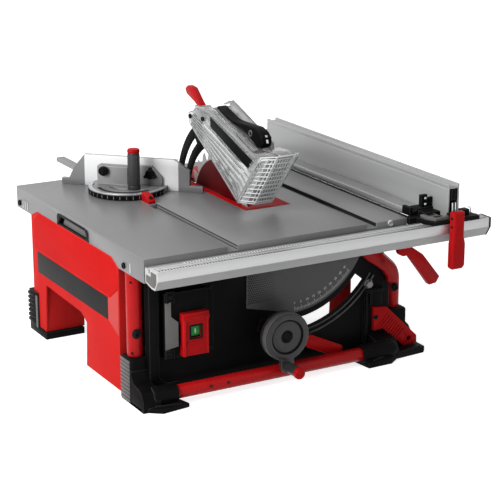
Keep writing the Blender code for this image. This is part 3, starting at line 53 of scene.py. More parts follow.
# Places that several pieces share, in millimetres of the drawing
FLOOR = -298
SIDES = ((0, LEFT), (570, RIGHT))
PANEL_FACE = 62
SCALE_FACE = 58.7
STICK_FACE = 47
FLAP_FACE = 29.4
ARBOR = (345, 355, -38)
BEVEL_AXIS = (345, 0)
BEVEL_CENTRE = (BEVEL_AXIS[0], PANEL_FACE, BEVEL_AXIS[1])
MITER_PIVOT = (182.5, 453)
WHEEL_AXIS = (297.6, -197.4)
TUBE_YZ = (22, -274)
RAIL_TOP = -8
GUARD_SIDES = ((304, LEFT), (386, RIGHT))


def at(x, y, z):
    """A drawing point in millimetres, as a point of the frame in metres."""
    return (Vector((x, y, z)) + CORNER) * MILLIMETRE


# Finishes: the grain's depth in metres, the noise of the two colours, and the turn of an edge that is paler
# from wear and from a painted highlight
GRAIN_DEPTH = 0.0004
CLOUD_STOPS = (0.32, 0.7)
EDGE_WEAR_AND_HIGHLIGHT_TURN = (0.86, 0.995)


def graph(name):
    """A new material, with its node tree and its shader."""
    made = bpy.data.materials.new(name)
    made.use_nodes = True
    return made, made.node_tree, made.node_tree.nodes["Principled BSDF"]


def node(tree, kind, links=(), **values):
    """A node of that kind: values are properties or sockets by number, links are (socket, source)."""
    made = tree.nodes.new(kind)
    for key, value in values.items():
        if key.startswith("in_"):
            made.inputs[int(key[3:])].default_value = value
        else:
            setattr(made, key, value)
    for socket, source in links:
        tree.links.new(source, made.inputs[socket])
    return made


def place(tree, stretch=(1, 1, 1)):
    """The object's own coordinates in metres, scaled along each axis."""
    coords = node(tree, "ShaderNodeTexCoord").outputs["Object"]
    return node(tree, "ShaderNodeMapping", [("Vector", coords)], in_3=stretch).outputs[0]


def noise(tree, vector, scale, detail=3.0, rough=0.55):
    """Soft noise with that many spots to the metre."""
    made = node(tree, "ShaderNodeTexNoise", [("Vector", vector)])
    made.inputs["Scale"].default_value = scale
    made.inputs["Detail"].default_value = detail
    made.inputs["Roughness"].default_value = rough
    return made.outputs[0]


def ramp(tree, source, *stops):
    """A colour ramp with (position, colour) stops."""
    made = node(tree, "ShaderNodeValToRGB", [("Fac", source)])
    while len(made.color_ramp.elements) < len(stops):
        made.color_ramp.elements.new(0.5)
    for element, (position, colour) in zip(made.color_ramp.elements, stops):
        element.position = position
        element.color = (*colour, 1)
    return made.outputs[0]


def span(tree, source, low, high, start=0.3, end=0.7):
    """The source's stretch from start to end, laid out from low to high."""
    made = node(tree, "ShaderNodeMapRange", [(0, source)], in_1=start, in_2=end, in_3=low, in_4=high)
    return made.outputs[0]


def bump(tree, height, strength):
    """A normal that follows a fine relief."""
    made = node(tree, "ShaderNodeBump", [("Height", height)])
    made.inputs["Strength"].default_value = strength
    made.inputs["Distance"].default_value = GRAIN_DEPTH
    return made.outputs[0]


def blend(tree, share, colour, other):
    """The colour, with another one where share is 1."""
    links = [(0, share), (6, colour)]
    return node(tree, "ShaderNodeMix", links, data_type="RGBA", in_7=(*other, 1)).outputs[2]


def worn(tree, colour, edge, reach, most):
    """The colour with paler edges, partly wear and partly a painted highlight along rims: where a rounded
    normal leaves the real one, edge shows through.
    """
    real = node(tree, "ShaderNodeNewGeometry").outputs["Normal"]
    rounded = node(tree, "ShaderNodeBevel", in_0=reach, samples=4).outputs[0]
    turn = node(tree, "ShaderNodeVectorMath", [(0, rounded), (1, real)], operation="DOT_PRODUCT")
    share = span(tree, turn.outputs["Value"], most, 0.0, *EDGE_WEAR_AND_HIGHLIGHT_TURN)
    return blend(tree, share, colour, edge)


def finish(name, dark, light, rough, metal=0.0, cloud=9.0, grain=900.0, stretch=(1, 1, 1),
           relief=0.1, spread=0.06, edge=None, reach=0.0015, most=0.5, mask=None,
           shine=0.5, clear=0.0, ior=1.5):
    """A surface with clouded colour, fine grain in its relief and gloss, and paler edges that are partly wear
    and partly a painted highlight.

    A mask is a distance, where another colour starts and is full along it, and that colour.
    """
    made, tree, shader = graph(name)
    where = place(tree, stretch)
    colour = ramp(tree, noise(tree, where, cloud), *zip(CLOUD_STOPS, (dark, light)))
    if mask:
        measure, start, full, other = mask
        share = span(tree, measure(tree, place(tree)), 0.0, 1.0, start, full)
        colour = blend(tree, share, colour, other)
    if edge:
        colour = worn(tree, colour, edge, reach, most)
    fine = noise(tree, where, grain, 4.0, 0.6)
    tree.links.new(colour, shader.inputs["Base Color"])
    tree.links.new(span(tree, fine, rough - spread, rough + spread), shader.inputs["Roughness"])
    tree.links.new(bump(tree, fine, relief), shader.inputs["Normal"])
    shader.inputs["Metallic"].default_value = metal
    shader.inputs["Specular IOR Level"].default_value = shine
    shader.inputs["Transmission Weight"].default_value = clear
    shader.inputs["IOR"].default_value = ior
    return made


def along_miter(tree, where):
    """How far a point lies from the middle of the miter fence, along it."""
    middle = at(*MITER_PIVOT, 0)
    offset = node(tree, "ShaderNodeVectorMath", [(0, where)], operation="SUBTRACT", in_1=middle)
    turn = node(tree, "ShaderNodeVectorMath", [(0, offset.outputs[0])],
                operation="DOT_PRODUCT", in_1=(SLANT, -SLANT, 0))
    return node(tree, "ShaderNodeMath", [(0, turn.outputs["Value"])], operation="ABSOLUTE").outputs[0]


def from_arbor(tree, where):
    """How far a point lies from the blade's axis."""
    apart = node(tree, "ShaderNodeVectorMath", [(0, where)], operation="DISTANCE", in_1=at(*ARBOR))
    return apart.outputs["Value"]


# What several finishes share
PAINT = {"grain": 520, "relief": 0.14, "most": 0.3, "shine": 0.02}
SHADED = {"cloud": 60, "grain": 420, "relief": 0.15, "clear": 0.3, "ior": 1.42}
# Shared by the print finishes, one of which also paints shade
INK = {"grain": 1500, "shine": 0.1}

# The record's material slots
FINISHES = {
    "red_paint": finish(
        "paint_red", (0.55, 0.010, 0.010), (0.62, 0.014, 0.013), 0.58, edge=(0.8, 0.09, 0.08), **PAINT),
    "red_plastic": finish(
        "plastic_red", (0.42, 0.004, 0.006), (0.49, 0.006, 0.008), 0.4, grain=1500, relief=0.12,
        edge=(0.7, 0.07, 0.07), most=0.35, shine=0.08),
    # Its pale edge colour is mostly a painted highlight along the rims
    "black_plastic": finish(
        "plastic_black", (0.004, 0.004, 0.0042), (0.008, 0.008, 0.0084), 0.45, grain=1400, relief=0.25,
        edge=(0.11, 0.11, 0.11), reach=0.002, shine=0.03),
    "grey_table": finish(
        "table_grey", (0.185, 0.185, 0.188), (0.225, 0.225, 0.228), 0.36, 0.1, cloud=5, grain=1100,
        stretch=(1, 0.12, 1), relief=0.06, edge=(0.42, 0.42, 0.42), shine=0.3),
    "silver_profile": finish(
        "aluminium", (0.44, 0.445, 0.45), (0.52, 0.52, 0.525), 0.34, 0.7, cloud=14, grain=1600,
        stretch=(0.04, 0.04, 1), relief=0.1, edge=(0.8, 0.8, 0.8)),
    "steel": finish(
        "steel_bright", (0.46, 0.46, 0.47), (0.56, 0.56, 0.57), 0.3, 1.0, cloud=30, grain=1500,
        stretch=(1, 0.1, 1), relief=0.1),
    "dark_steel": finish(
        "steel_dark", (0.004, 0.004, 0.0045), (0.007, 0.007, 0.0075), 0.42, cloud=20, grain=1200,
        relief=0.2, edge=(0.1, 0.1, 0.1), most=0.3, shine=0.06),
    "cast_metal": finish(
        "metal_cast", (0.20, 0.20, 0.205), (0.28, 0.28, 0.285), 0.52, 0.4, cloud=18, grain=700, relief=0.3,
        edge=(0.5, 0.5, 0.5), shine=0.3),
    "motor_case": finish(
        "motor_case", (0.05, 0.051, 0.053), (0.075, 0.076, 0.078), 0.5, 0.3, cloud=16, grain=800,
        relief=0.3, edge=(0.2, 0.2, 0.2), shine=0.2),
    "blade_coat": finish(
        "blade_red", (0.065, 0.001, 0.002), (0.09, 0.0015, 0.003), 0.4, cloud=20, grain=1300, relief=0.12,
        shine=0.1, mask=(from_arbor, 0.104, 0.106, (0.42, 0.4, 0.4))),
    "green_plastic": finish(
        "plastic_green", (0.012, 0.24, 0.035), (0.02, 0.31, 0.05), 0.4, grain=1500, relief=0.12,
        edge=(0.1, 0.5, 0.15), most=0.3, shine=0.2),
    "clear_plastic": finish(
        "plastic_clear", (0.64, 0.645, 0.65), (0.74, 0.745, 0.75), 0.1, cloud=40, grain=420, relief=0.2,
        spread=0.05, edge=(0.95, 0.95, 0.95), most=0.7, clear=0.82, ior=1.42),
}

# Finishes of single nodes and pieces
CLEAR_FRONT = finish(
    "plastic_window", (0.9, 0.905, 0.91), (0.95, 0.955, 0.96), 0.2, cloud=40, grain=420, relief=0.15,
    spread=0.05, clear=0.12, ior=1.4)
CLEAR_RIB = finish(
    "plastic_rib", (0.5, 0.504, 0.508), (0.6, 0.604, 0.608), 0.2, cloud=40, grain=420, relief=0.15,
    edge=(0.98, 0.98, 0.98), most=0.7, clear=0.5, ior=1.42)
# Grey bars that paint the shade in the nose's slits
CLEAR_SLIT = finish("plastic_slit", (0.3, 0.3, 0.303), (0.38, 0.38, 0.383), 0.25, **SHADED)
CLEAR_SHADE = finish("plastic_shade", (0.09, 0.09, 0.092), (0.16, 0.16, 0.163), 0.25, **SHADED)
GREY_PLASTIC = finish(
    "plastic_grey", (0.11, 0.108, 0.104), (0.15, 0.147, 0.142), 0.5, grain=1300, relief=0.2,
    edge=(0.3, 0.3, 0.3), shine=0.15)
SCALE_PLATE = finish(
    "plate_dark", (0.07, 0.07, 0.072), (0.095, 0.095, 0.098), 0.46, 0.1, grain=1200, stretch=(0.1, 1, 1),
    relief=0.1, edge=(0.2, 0.2, 0.2), shine=0.2)
HEAD_METAL = finish(
    "metal_satin", (0.19, 0.19, 0.194), (0.25, 0.25, 0.254), 0.4, 0.3, cloud=16, grain=900, relief=0.16,
    edge=(0.75, 0.75, 0.75), shine=0.3)
# Painted shade for the front rail's chamfer that faces down
RAIL_SHADE = finish(
    "aluminium_shade", (0.27, 0.273, 0.276), (0.33, 0.332, 0.335), 0.42, 0.35, cloud=14, grain=1600,
    stretch=(0.04, 0.04, 1), relief=0.1, edge=(0.6, 0.6, 0.6))
FENCE_METAL = finish(
    "aluminium_dull", (0.38, 0.383, 0.386), (0.46, 0.463, 0.466), 0.46, 0.15, cloud=14, grain=1600,
    stretch=(1, 0.04, 1), relief=0.08, edge=(0.8, 0.8, 0.8), shine=0.3)
MITER_FACE = finish(
    "miter_white", (0.68, 0.68, 0.685), (0.75, 0.75, 0.755), 0.4, 0.1, cloud=14, grain=1600,
    stretch=(0.1, 0.1, 1), relief=0.06, edge=(0.85, 0.85, 0.85),
    mask=(along_miter, 0.1025, 0.1035, (0.16, 0.16, 0.164)))
INSERT_RED = finish(
    "insert_red", (0.38, 0.005, 0.008), (0.46, 0.007, 0.01), 0.46, grain=1400, relief=0.12,
    edge=(0.6, 0.04, 0.04), most=0.4, shine=0.05)
TUBE_RED = finish(
    "tube_red", (0.44, 0.006, 0.008), (0.52, 0.009, 0.01), 0.26, grain=520, relief=0.08,
    edge=(0.8, 0.1, 0.1), most=0.3, spread=0.04, shine=0.13)
PANEL_RED = finish(
    "paint_panel", (0.6, 0.020, 0.019), (0.66, 0.026, 0.024), 0.58, edge=(0.8, 0.09, 0.08), **PAINT)
# A lighter red that paints the sheen on the left panel's front strip
PAINTED_SHEEN_RED = finish(
    "red_painted_sheen", (0.55, 0.072, 0.068), (0.61, 0.086, 0.08), 0.58, edge=(0.8, 0.15, 0.14), **PAINT)
WHEEL_GREY = finish(
    "plastic_dark", (0.026, 0.026, 0.027), (0.036, 0.036, 0.037), 0.36, grain=1300, relief=0.2,
    edge=(0.2, 0.2, 0.2), shine=0.3)
KNIFE_BLACK = finish(
    "knife_black", (0.002, 0.002, 0.0021), (0.004, 0.004, 0.0042), 0.5, grain=1200, relief=0.1, shine=0.02)
PALE_INK = finish("ink_pale", (0.66, 0.66, 0.66), (0.78, 0.78, 0.78), 0.6, **INK)
# The dark print finish, also used to paint shade in slots, grooves and holes
DARK_INK_AND_SHADE = finish("ink_and_painted_shade", (0.012, 0.012, 0.012), (0.02, 0.02, 0.02), 0.6, **INK)

# Nodes that don't take their slot's finish
OWN_LOOK = {
    "miter_bar": HEAD_METAL, "riving_knife": KNIFE_BLACK, "left_side_panel": PANEL_RED,
    "bevel_scale_plate": SCALE_PLATE, "miter_head": HEAD_METAL, "miter_fence": MITER_FACE,
    "table_insert": INSERT_RED, "left_upright_tube": TUBE_RED, "right_upright_tube": TUBE_RED,
    "front_cross_tube": TUBE_RED, "handwheel": WHEEL_GREY, "crank_grip": WHEEL_GREY,
    "miter_handle": WHEEL_GREY, "wheel_shaft": FINISHES["dark_steel"],
    "guard_spine": FINISHES["clear_plastic"],
}

# Shading
SHARP = math.radians(35)
FLAT = math.radians(1)
WELD_GAP = 0.00001
ROUND_STEPS = 2


def shade_group():
    """Smooth faces, with sharp edges where the surface turns by more than the sharp angle."""
    tree = bpy.data.node_groups.new("even_shading", "GeometryNodeTree")
    tree.interface.new_socket("Geometry", in_out="INPUT", socket_type="NodeSocketGeometry")
    tree.interface.new_socket("Geometry", in_out="OUTPUT", socket_type="NodeSocketGeometry")
    entry = tree.nodes.new("NodeGroupInput")
    result = tree.nodes.new("NodeGroupOutput")
    bare = node(tree, "GeometryNodeRemoveAttribute", [("Geometry", entry.outputs[0])])
    bare.inputs["Name"].default_value = "custom_normal"
    smooth = node(tree, "GeometryNodeSetShadeSmooth", [("Geometry", bare.outputs[0])], domain="FACE")
    angle = node(tree, "GeometryNodeInputMeshEdgeAngle").outputs[0]
    steep = node(tree, "FunctionNodeCompare", [(0, angle)], in_1=SHARP)
    links = [("Geometry", smooth.outputs[0]), ("Selection", steep.outputs[0])]
    sharp = node(tree, "GeometryNodeSetShadeSmooth", links, domain="EDGE")
    sharp.inputs["Shade Smooth"].default_value = False
    tree.links.new(sharp.outputs[0], result.inputs[0])
    return tree


EVEN = shade_group()


def ease(obj, width):
    """Rounds the object's edges by a width in millimetres, by modifiers, and evens its shading."""
    obj.modifiers.new("weld", "WELD").merge_threshold = WELD_GAP
    flat = obj.modifiers.new("flat", "DECIMATE")
    flat.decimate_type = "DISSOLVE"
    flat.angle_limit = FLAT
    if width:
        rounding = obj.modifiers.new("rounding", "BEVEL")
        rounding.width = width * MILLIMETRE
        rounding.segments = ROUND_STEPS
        rounding.limit_method = "ANGLE"
        rounding.angle_limit = SHARP
    obj.modifiers.new("even", "NODES").node_group = EVEN


# Shapes, drawn in millimetres of the drawing
def loft(mesh, loops, ring=False):
    """Closed loops with as many points each, joined in a row, into a ring or with closed ends."""
    rows = [[mesh.verts.new(point) for point in loop] for loop in loops]
    pairs = list(zip(rows, rows[1:]))
    if ring:
        pairs.append((rows[-1], rows[0]))
    for first, second in pairs:
        for i, corner in enumerate(first):
            j = (i + 1) % len(first)
            mesh.faces.new((corner, first[j], second[j], second[i]))
    if not ring:
        mesh.faces.new(rows[0][::-1])
        mesh.faces.new(rows[-1])


def lay(axis, u, v, along):
    """A point by its two places across an axis and its place along it."""
    return {"X": (along, u, v), "Y": (u, along, v), "Z": (u, v, along)}[axis]


def prism(mesh, axis, outline, *levels):
    """An outline across an axis, drawn through levels of (place along it, growth in each direction)."""
    middle = sum((Vector(point) for point in outline), Vector((0, 0))) / len(outline)
    loops = []
    for along, grow in levels:
        points = [Vector(point) for point in outline]
        moved = [p + Vector([math.copysign(1, c) for c in p - middle]) * grow for p in points]
        loops.append([lay(axis, *point, along) for point in moved])
    loft(mesh, loops)


def block(mesh, x, y, z):
    """A box between two places along each axis."""
    prism(mesh, "Z", [(x[0], y[0]), (x[1], y[0]), (x[1], y[1]), (x[0], y[1])], (z[0], 0), (z[1], 0))


def bar(mesh, start, end, normal, width, height, sink=0.3):
    """A straight rib from start to end, standing on a surface that faces along normal."""
    start, end, normal = Vector(start), Vector(end), Vector(normal).normalized()
    side = (end - start).cross(normal).normalized() * width / 2
    low, high = -normal * sink, normal * height
    near = [start - side + low, start + side + low, start + side + high, start - side + high]
    loft(mesh, [near, [corner + end - start for corner in near]])


def slab(mesh, corners, push):
    """A flat plate through corners, as thick as push."""
    corners = [Vector(corner) for corner in corners]
    loft(mesh, [corners, [corner + Vector(push) for corner in corners]])


def axes(along):
    """An axis and two directions across it: those of the drawing where it lies along one of them."""
    along = Vector(along).normalized()
    for main, pair in ((UP, (RIGHT, BACK)), (FRONT, (RIGHT, UP)), (LEFT, (BACK, UP))):
        if abs(along.dot(main)) > 0.99:
            return along, *pair
    side = along.cross(UP).normalized()
    return along, side, side.cross(along)


def turned(mesh, spot, along, rings, sides=24):
    """Rings of (radius, height) about an axis. A ring with a third value is a hexagon."""
    along, u, v = axes(along)
    loops = []
    for radius, height, *six in rings:
        loop = []
        for i in range(sides):
            angle = math.tau * i / sides
            reach = radius
            if six:
                reach = radius * math.cos(math.pi / 6) / math.cos(angle % (math.pi / 3) - math.pi / 6)
            out = u * math.cos(angle) + v * math.sin(angle)
            loop.append(Vector(spot) + along * height + out * reach)
        loops.append(loop)
    loft(mesh, loops)


def hoop(mesh, spot, along, radii, heights, start=0, end=360, steps=48):
    """A band of square section round an axis, from one angle to another."""
    along, u, v = axes(along)
    inner, outer = radii
    low, high = heights
    section = ((inner, low), (outer, low), (outer, high), (inner, high))
    whole = end - start == 360
    loops = []
    for i in range(steps if whole else steps + 1):
        angle = math.radians(start + (end - start) * i / steps)
        out = u * math.cos(angle) + v * math.sin(angle)
        loops.append([Vector(spot) + out * radius + along * height for radius, height in section])
    loft(mesh, loops, whole)


def screw(mesh, spot, along, radius, height=None):
    """A socket head: rounded rim, flat top and a six-sided recess."""
    tall = height or radius * 0.6
    turned(mesh, spot, along, [
        (radius, -0.4), (radius, tall * 0.65), (radius * 0.85, tall), (radius * 0.55, tall),
        (radius * 0.5, tall * 0.9, 1), (radius * 0.48, tall * 0.15, 1),
    ])


def rivet(mesh, spot, along, radius):
    """A low round head on a thin collar."""
    turned(mesh, spot, along, [
        (radius * 1.25, -0.3), (radius * 1.25, 0.4), (radius, 0.6), (radius * 0.8, 1.4), (radius * 0.4, 1.8),
    ])


def eyelet(mesh, spot, along, radius):
    """A hole's rim: a low ring with a sunk middle."""
    turned(mesh, spot, along, [
        (radius * 1.3, -0.3), (radius * 1.3, 0.3), (radius * 1.1, 0.6), (radius, 0.5), (radius * 0.95, -0.2),
    ], 20)


def digits(mesh, words, size, spot, right, up):
    """Plain figures, centred on a spot and lying in the plane of two directions."""
    curve = bpy.data.curves.new("figures", "FONT")
    curve.body = words
    curve.size = size
    curve.align_x = "CENTER"
    curve.align_y = "CENTER"
    curve.resolution_u = 2
    curve.extrude = 0.1
    holder = bpy.data.objects.new("figures", curve)
    made = bpy.data.meshes.new_from_object(holder)
    right, up = Vector(right).normalized(), Vector(up).normalized()
    turn = Matrix((right, up, right.cross(up))).transposed().to_4x4()
    made.transform(Matrix.Translation(spot) @ turn)
    mesh.from_mesh(made)
    bpy.data.meshes.remove(made)
    bpy.data.objects.remove(holder)
    bpy.data.curves.remove(curve)


def piece(name, body, slot, *parts, soft=0.4, look=None):
    """A new piece that rides a body. Each part is a shape function with what it draws from."""
    mesh = bmesh.new()
    for shape, *values in parts:
        shape(mesh, *values)
    bmesh.ops.recalc_face_normals(mesh, faces=mesh.faces)
    for vert in mesh.verts:
        vert.co = at(*vert.co)
    data = bpy.data.meshes.new(name)
    mesh.to_mesh(data)
    mesh.free()
    made = bpy.data.objects.new(name, data)
    bpy.context.scene.collection.objects.link(made)
    data.materials.append(look or FINISHES[slot])
    ease(made, soft)
    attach(made, body)
    return made


# Solids, with the rounding of their edges in millimetres
COMMON_EDGE = 0.6
SOFT_EDGE = {
    "table_top": 1.6, "front_panel": 1.2, "foot_rear_left": 3.0, "foot_rear_right": 3.0,
    "left_side_panel": 0.8, "right_side_panel": 0.8, "rail_lock_lever": 3.0, "bevel_lock_lever": 2.5,
    "switch_flap": 2.0, "switch_housing": 1.5, "miter_head": 0.8, "miter_fence": 0.8, "push_stick": 2.0,
    "guard_lever": 3.0, "guard_spine": 2.0, "saw_blade": 0.0, "lift_screw": 0.2, "table_insert": 0.8,
    "start_button": 1.0,
}
for name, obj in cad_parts.items():
    slot = obj.data.materials[0].name
    obj.data.materials[0] = OWN_LOOK.get(name, FINISHES[slot])
    ease(obj, SOFT_EDGE.get(name, COMMON_EDGE))


# Side panels and skirt
def raised(outline, side, height, slope):
    """A low field on a side panel, sunk a little into it, with sloped edges."""
    face, out = side
    return prism, "X", outline, (face - 0.2 * out.x, 0), (face + height * out.x, -slope)


def side_panels():
    """Raised fields and bare bands on both side panels, and the left one's arch corner and its strip of
    lighter red, a painted sheen.
    """
    left, right = SIDES
    field = [(492, -33), (138, -33), (113, -47), (112, -88), (147, -112), (520, -112), (520, -50)]
    piece("side_field", "base", "red_paint", raised(field, left, 1.5, 1.5), soft=0.8)
    band = [(504, -161), (504, -116), (160, -116), (160, -161)]
    piece("side_band", "base", "black_plastic", raised(band, left, 1.0, 0.5), look=DARK_INK_AND_SHADE)
    # The strip's lighter red is a painted sheen
    strip = [(158, -160), (158, -116), (147, -113.5), (112, -90), (112, -180)]
    piece("side_strip", "base", "red_paint", raised(strip, left, 1.2, 0.6), soft=0.5, look=PAINTED_SHEEN_RED)
    corner = [(292, -183), (254, -180), (254, -199)]
    piece("arch_corner", "base", "red_paint", (prism, "X", corner, (0.1, 0), (2, 0)), look=PANEL_RED)
    field = [(215, -62), (513, -62), (513, -104), (500, -112), (228, -112), (215, -104)]
    piece("right_field", "base", "red_paint", raised(field, right, 1.4, 1.5), soft=0.8)
    band = [(513, -161), (513, -116), (215, -116), (215, -161)]
    piece("right_band", "base", "black_plastic", raised(band, right, 1.0, 0.5))


def skirt_trim():
    """The table skirt's screws and ribs, and the grip's rim and pad."""
    piece("skirt_screws", "base", "dark_steel",
          *((screw, (x, y, -33), out, 6) for x, out in SIDES for y in (592, 83)))
    # The ribs' bright metal finish paints the highlight that the cast ribs catch
    piece("skirt_ribs", "base", "grey_table",
          *((bar, (0, y, -22), (0, y, -40), LEFT, 4, 1.2) for y in (574, 562, 550, 56)),
          look=FINISHES["silver_profile"])
    middle = 317.5
    rim = [(242, -30.5), (256.5, -8), (378.5, -8), (393, -30.5)]
    corner = [(242, -31), (241, -13), (247, -6.5), (258, -6.5), (254, -13)]
    mirrored = [(2 * middle - y, z) for y, z in corner]
    piece("grip_trim", "base", "black_plastic",
          *((bar, (0, *first), (0, *second), LEFT, 5, 1.0) for first, second in zip(rim, rim[1:])),
          raised(corner, SIDES[0], 0.9, 0), raised(mirrored, SIDES[0], 0.9, 0))
    pad = [(250, -30), (262, -11), (368, -11), (380, -30)]
    piece("grip_pad", "base", "grey_table", (prism, "X", pad, (19.2, 0), (7, 0), (6, -1)), look=GREY_PLASTIC)


# Frame
def leg_trim():
    """Bolts and rivets on the front uprights, the cross tube's holes and the panel's return."""
    bolts = []
    for x, y, z, washer in ((13, 63.2, -162, 9.5), (592, 68.7, -165, 9)):
        bolts.append((turned, (x, y, z), FRONT, [(washer, -1), (washer, 1.2), (washer - 0.5, 1.6)]))
        bolts.append((screw, (x, y - 1.4, z), FRONT, washer - 2, 4))
    piece("post_bolts", "base", "dark_steel", *bolts)
    outward = Vector((-1, -1, 0))
    piece("post_rivets", "base", "dark_steel",
          *((rivet, (4.9, 67.4, z), outward, 2.2) for z in (-62, -200)),
          (eyelet, (549, 52.1, -102), FRONT, 3.2))
    piece("tube_holes", "base", "dark_steel",
          *((eyelet, (x, 8.5, -271), FRONT, 2.6) for x in (139, 176)))
    piece("panel_return", "base", "black_plastic", (block, (31.4, 34), (65.5, 112), (-284, -46)))


def front_feet():
    """The front feet with the sleeves that hold the cross tube."""
    sole = [(-4.4, 98), (-4.4, 12), (28, -13), (86, -6), (79, 24), (70, 40), (40, 98)]
    column = [(-4.4, 98), (-4.4, 60), (0, 56), (31, 56), (31, 98)]
    saddle = [(98, -297), (4, -297), (4, -276), (12, -261), (24, -255.5), (38, -254), (47, -250), (53, -243),
              (56, -232), (98, -232)]
    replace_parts(piece(
        "left_foot", "base", "black_plastic",
        (prism, "Z", sole, (FLOOR, -1.5), (FLOOR + 2, 0), (FLOOR + 8, 0), (FLOOR + 9.5, -1.5)),
        (prism, "Z", column, (FLOOR + 8, 0), (FLOOR + 86, 0), (FLOOR + 90, -3)),
        (prism, "X", saddle, (-4.4, 0), (31, 0)),
        (turned, (20, *TUBE_YZ), RIGHT, [(16, 0), (18.5, 2), (18.5, 49), (17, 51)]),
        (bar, (70, -4, -288), (20, 4, -288), UP, 3, 2), soft=1.0), "foot_front_left")
    toe = [(480, 46), (486, -4), (541, -3), (566, 14), (634, 19), (640, 26), (640, 103), (480, 103)]
    tower = [(562, -288), (639, -288), (639, -279), (624, -248), (616, -240), (616, -212), (612, -208),
             (578, -208), (562, -252)]
    saddle = [(103, -290), (8, -290), (8, -276), (22, -256), (48, -250), (103, -240)]
    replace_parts(piece(
        "right_foot", "base", "black_plastic",
        (prism, "Z", toe, (FLOOR, -1.5), (FLOOR + 2, 0), (FLOOR + 11, 0), (FLOOR + 13, -2)),
        (prism, "Y", tower, (61, 0), (103, 0)),
        (turned, (481, *TUBE_YZ), RIGHT, [(17, 0), (18.5, 2), (18.5, 69), (14, 83)]),
        (prism, "X", saddle, (520, 0), (566, 0)),
        (bar, (500, 2, -285), (630, 26, -285), UP, 3, 2.4), soft=1.0), "foot_front_right")


def foot_sides():
    """Grey pads on the feet's outer sides, and ribs round the rear feet."""
    grey = [(block, (-5.9, -4), (59, 97.5), (z, z + 5.8)) for z in (FLOOR + 4 + 7.6 * i for i in range(11))]
    grey += [(block, x, (507, 516), (-284, -214)) for x in ((-4.9, -3.8), (573.8, 574.9))]
    piece("foot_pads", "base", "black_plastic", *grey, look=GREY_PLASTIC)
    ribs = []
    for z in (FLOOR + 20 + 9.6 * i for i in range(7)):
        ribs += [(block, x, (518, 554.5), (z, z + 6)) for x in ((-5.9, -3.6), (573.6, 575.9))]
        ribs += [(block, x, (552.6, 554.9), (z, z + 6)) for x in ((-5.9, 38), (532, 575.9))]
    piece("foot_ribs", "base", "black_plastic", *ribs)


# Front panel
def polar(radius, angle, y):
    """A point of the front, round the bevel's axis, by its angle from straight down."""
    turn = math.radians(angle)
    return BEVEL_AXIS[0] + radius * math.sin(turn), y, BEVEL_AXIS[1] - radius * math.cos(turn)


def scale_dots():
    """Staggered dark dots on the scale plate, smaller to the right: painted shade in the plate's
    perforations.
    """
    left, top, bottom = 247.5, -53, -146
    step, drop = 4.6, 4.4
    dots = []
    for row in range(21):
        for column in range(13):
            x = left + column * step + row % 2 * step / 2
            z = top - row * drop
            radius = 1.9 - (x - 247) * 0.02
            if z > bottom and radius > 0.4:
                dots.append((turned, (x, SCALE_FACE, z), FRONT, [(radius, -0.2), (radius, 0.12)], 10))
    piece("scale_dots", "base", "black_plastic", *dots, soft=0, look=DARK_INK_AND_SHADE)


def bevel_scale():
    """Ticks and figures from 0 to 45 on the scale plate, and the ridges below the slot."""
    marks = []
    for degree in range(46):
        angle = 2 + degree * 48 / 45
        inner = 163 if degree % 5 == 0 else 166.5
        start, end = polar(inner, angle, SCALE_FACE), polar(171.5, angle, SCALE_FACE)
        marks.append((bar, start, end, FRONT, 0.7, 0.15))
        if degree % 5 == 0:
            turn = math.radians(angle)
            across = (math.cos(turn), 0, math.sin(turn))
            toward = (-math.sin(turn), 0, math.cos(turn))
            marks.append((digits, str(degree), 7, polar(156.5, angle, SCALE_FACE - 0.1), across, toward))
    piece("scale_marks", "base", "silver_profile", *marks, soft=0, look=PALE_INK)
    piece("slot_ridges", "base", "black_plastic",
          (hoop, BEVEL_CENTRE, FRONT, (217, 220), (-0.3, 2.5), -100, -34, 40),
          (hoop, BEVEL_CENTRE, FRONT, (226, 230), (-0.3, 3.5), -100, -34, 40), soft=0.8, look=WHEEL_GREY)


def upright_trim():
    """The right upright's broad bend in front of the panel, and the web beside the tube."""
    bend = [(516, -50), (538, -71), (545, -78), (570, -100), (583, -113), (589, -126), (591, -138),
            (591, -148), (566, -148), (564.5, -136), (556, -123), (541, -111), (514, -92), (501, -78),
            (474, -50)]
    piece("upright_bend", "base", "red_paint",
          (prism, "Y", bend, (66, 0), (52, 0)), (block, (576, 591), (61, 71), (-147, -128)),
          soft=4, look=TUBE_RED)
    web = [(552, -112), (567, -128), (574, -141), (576, -214), (552, -214)]
    piece("upright_web", "base", "black_plastic", (prism, "Y", web, (68, 0), (64, 0)))


def panel_trim():
    """The end of the arc slot, the clamp nut, and the push stick's holder, ribs and eye."""
    piece("slot_end", "base", "black_plastic",
          (hoop, BEVEL_CENTRE, FRONT, (188, 214), (-0.3, 1), -111, -106.5, 6))
    piece("clamp_nut", "base", "steel",
          (turned, (524, PANEL_FACE, -146), FRONT,
           [(9.5, -0.3), (9.5, 1.4), (8, 1.4, 1), (8, 6, 1), (6.8, 7, 1)]),
          look=HEAD_METAL)
    depth = (51, 56.6)
    piece("holder_frame", "base", "black_plastic",
          (block, (512.4, 517), depth, (-266, -157)),
          (block, (522, 526.6), depth, (-186, -157)),
          (block, (512.4, 555.6), depth, (-161, -156)))
    along = Vector((0.717, 0, -0.697))
    across = Vector((0.697, 0, 0.717))
    ribs = []
    for i in range(9):
        middle = Vector((553, STICK_FACE, -221)) + along * 6.8 * i
        ribs.append((bar, middle - across * 15, middle + across * 15, FRONT, 3.2, 2.2))
    piece("stick_ribs", "stick", "red_plastic", *ribs)
    piece("stick_eye", "stick", "red_plastic",
          (hoop, (615, STICK_FACE, -272), FRONT, (6.1, 8.6), (-0.3, 1.4)))


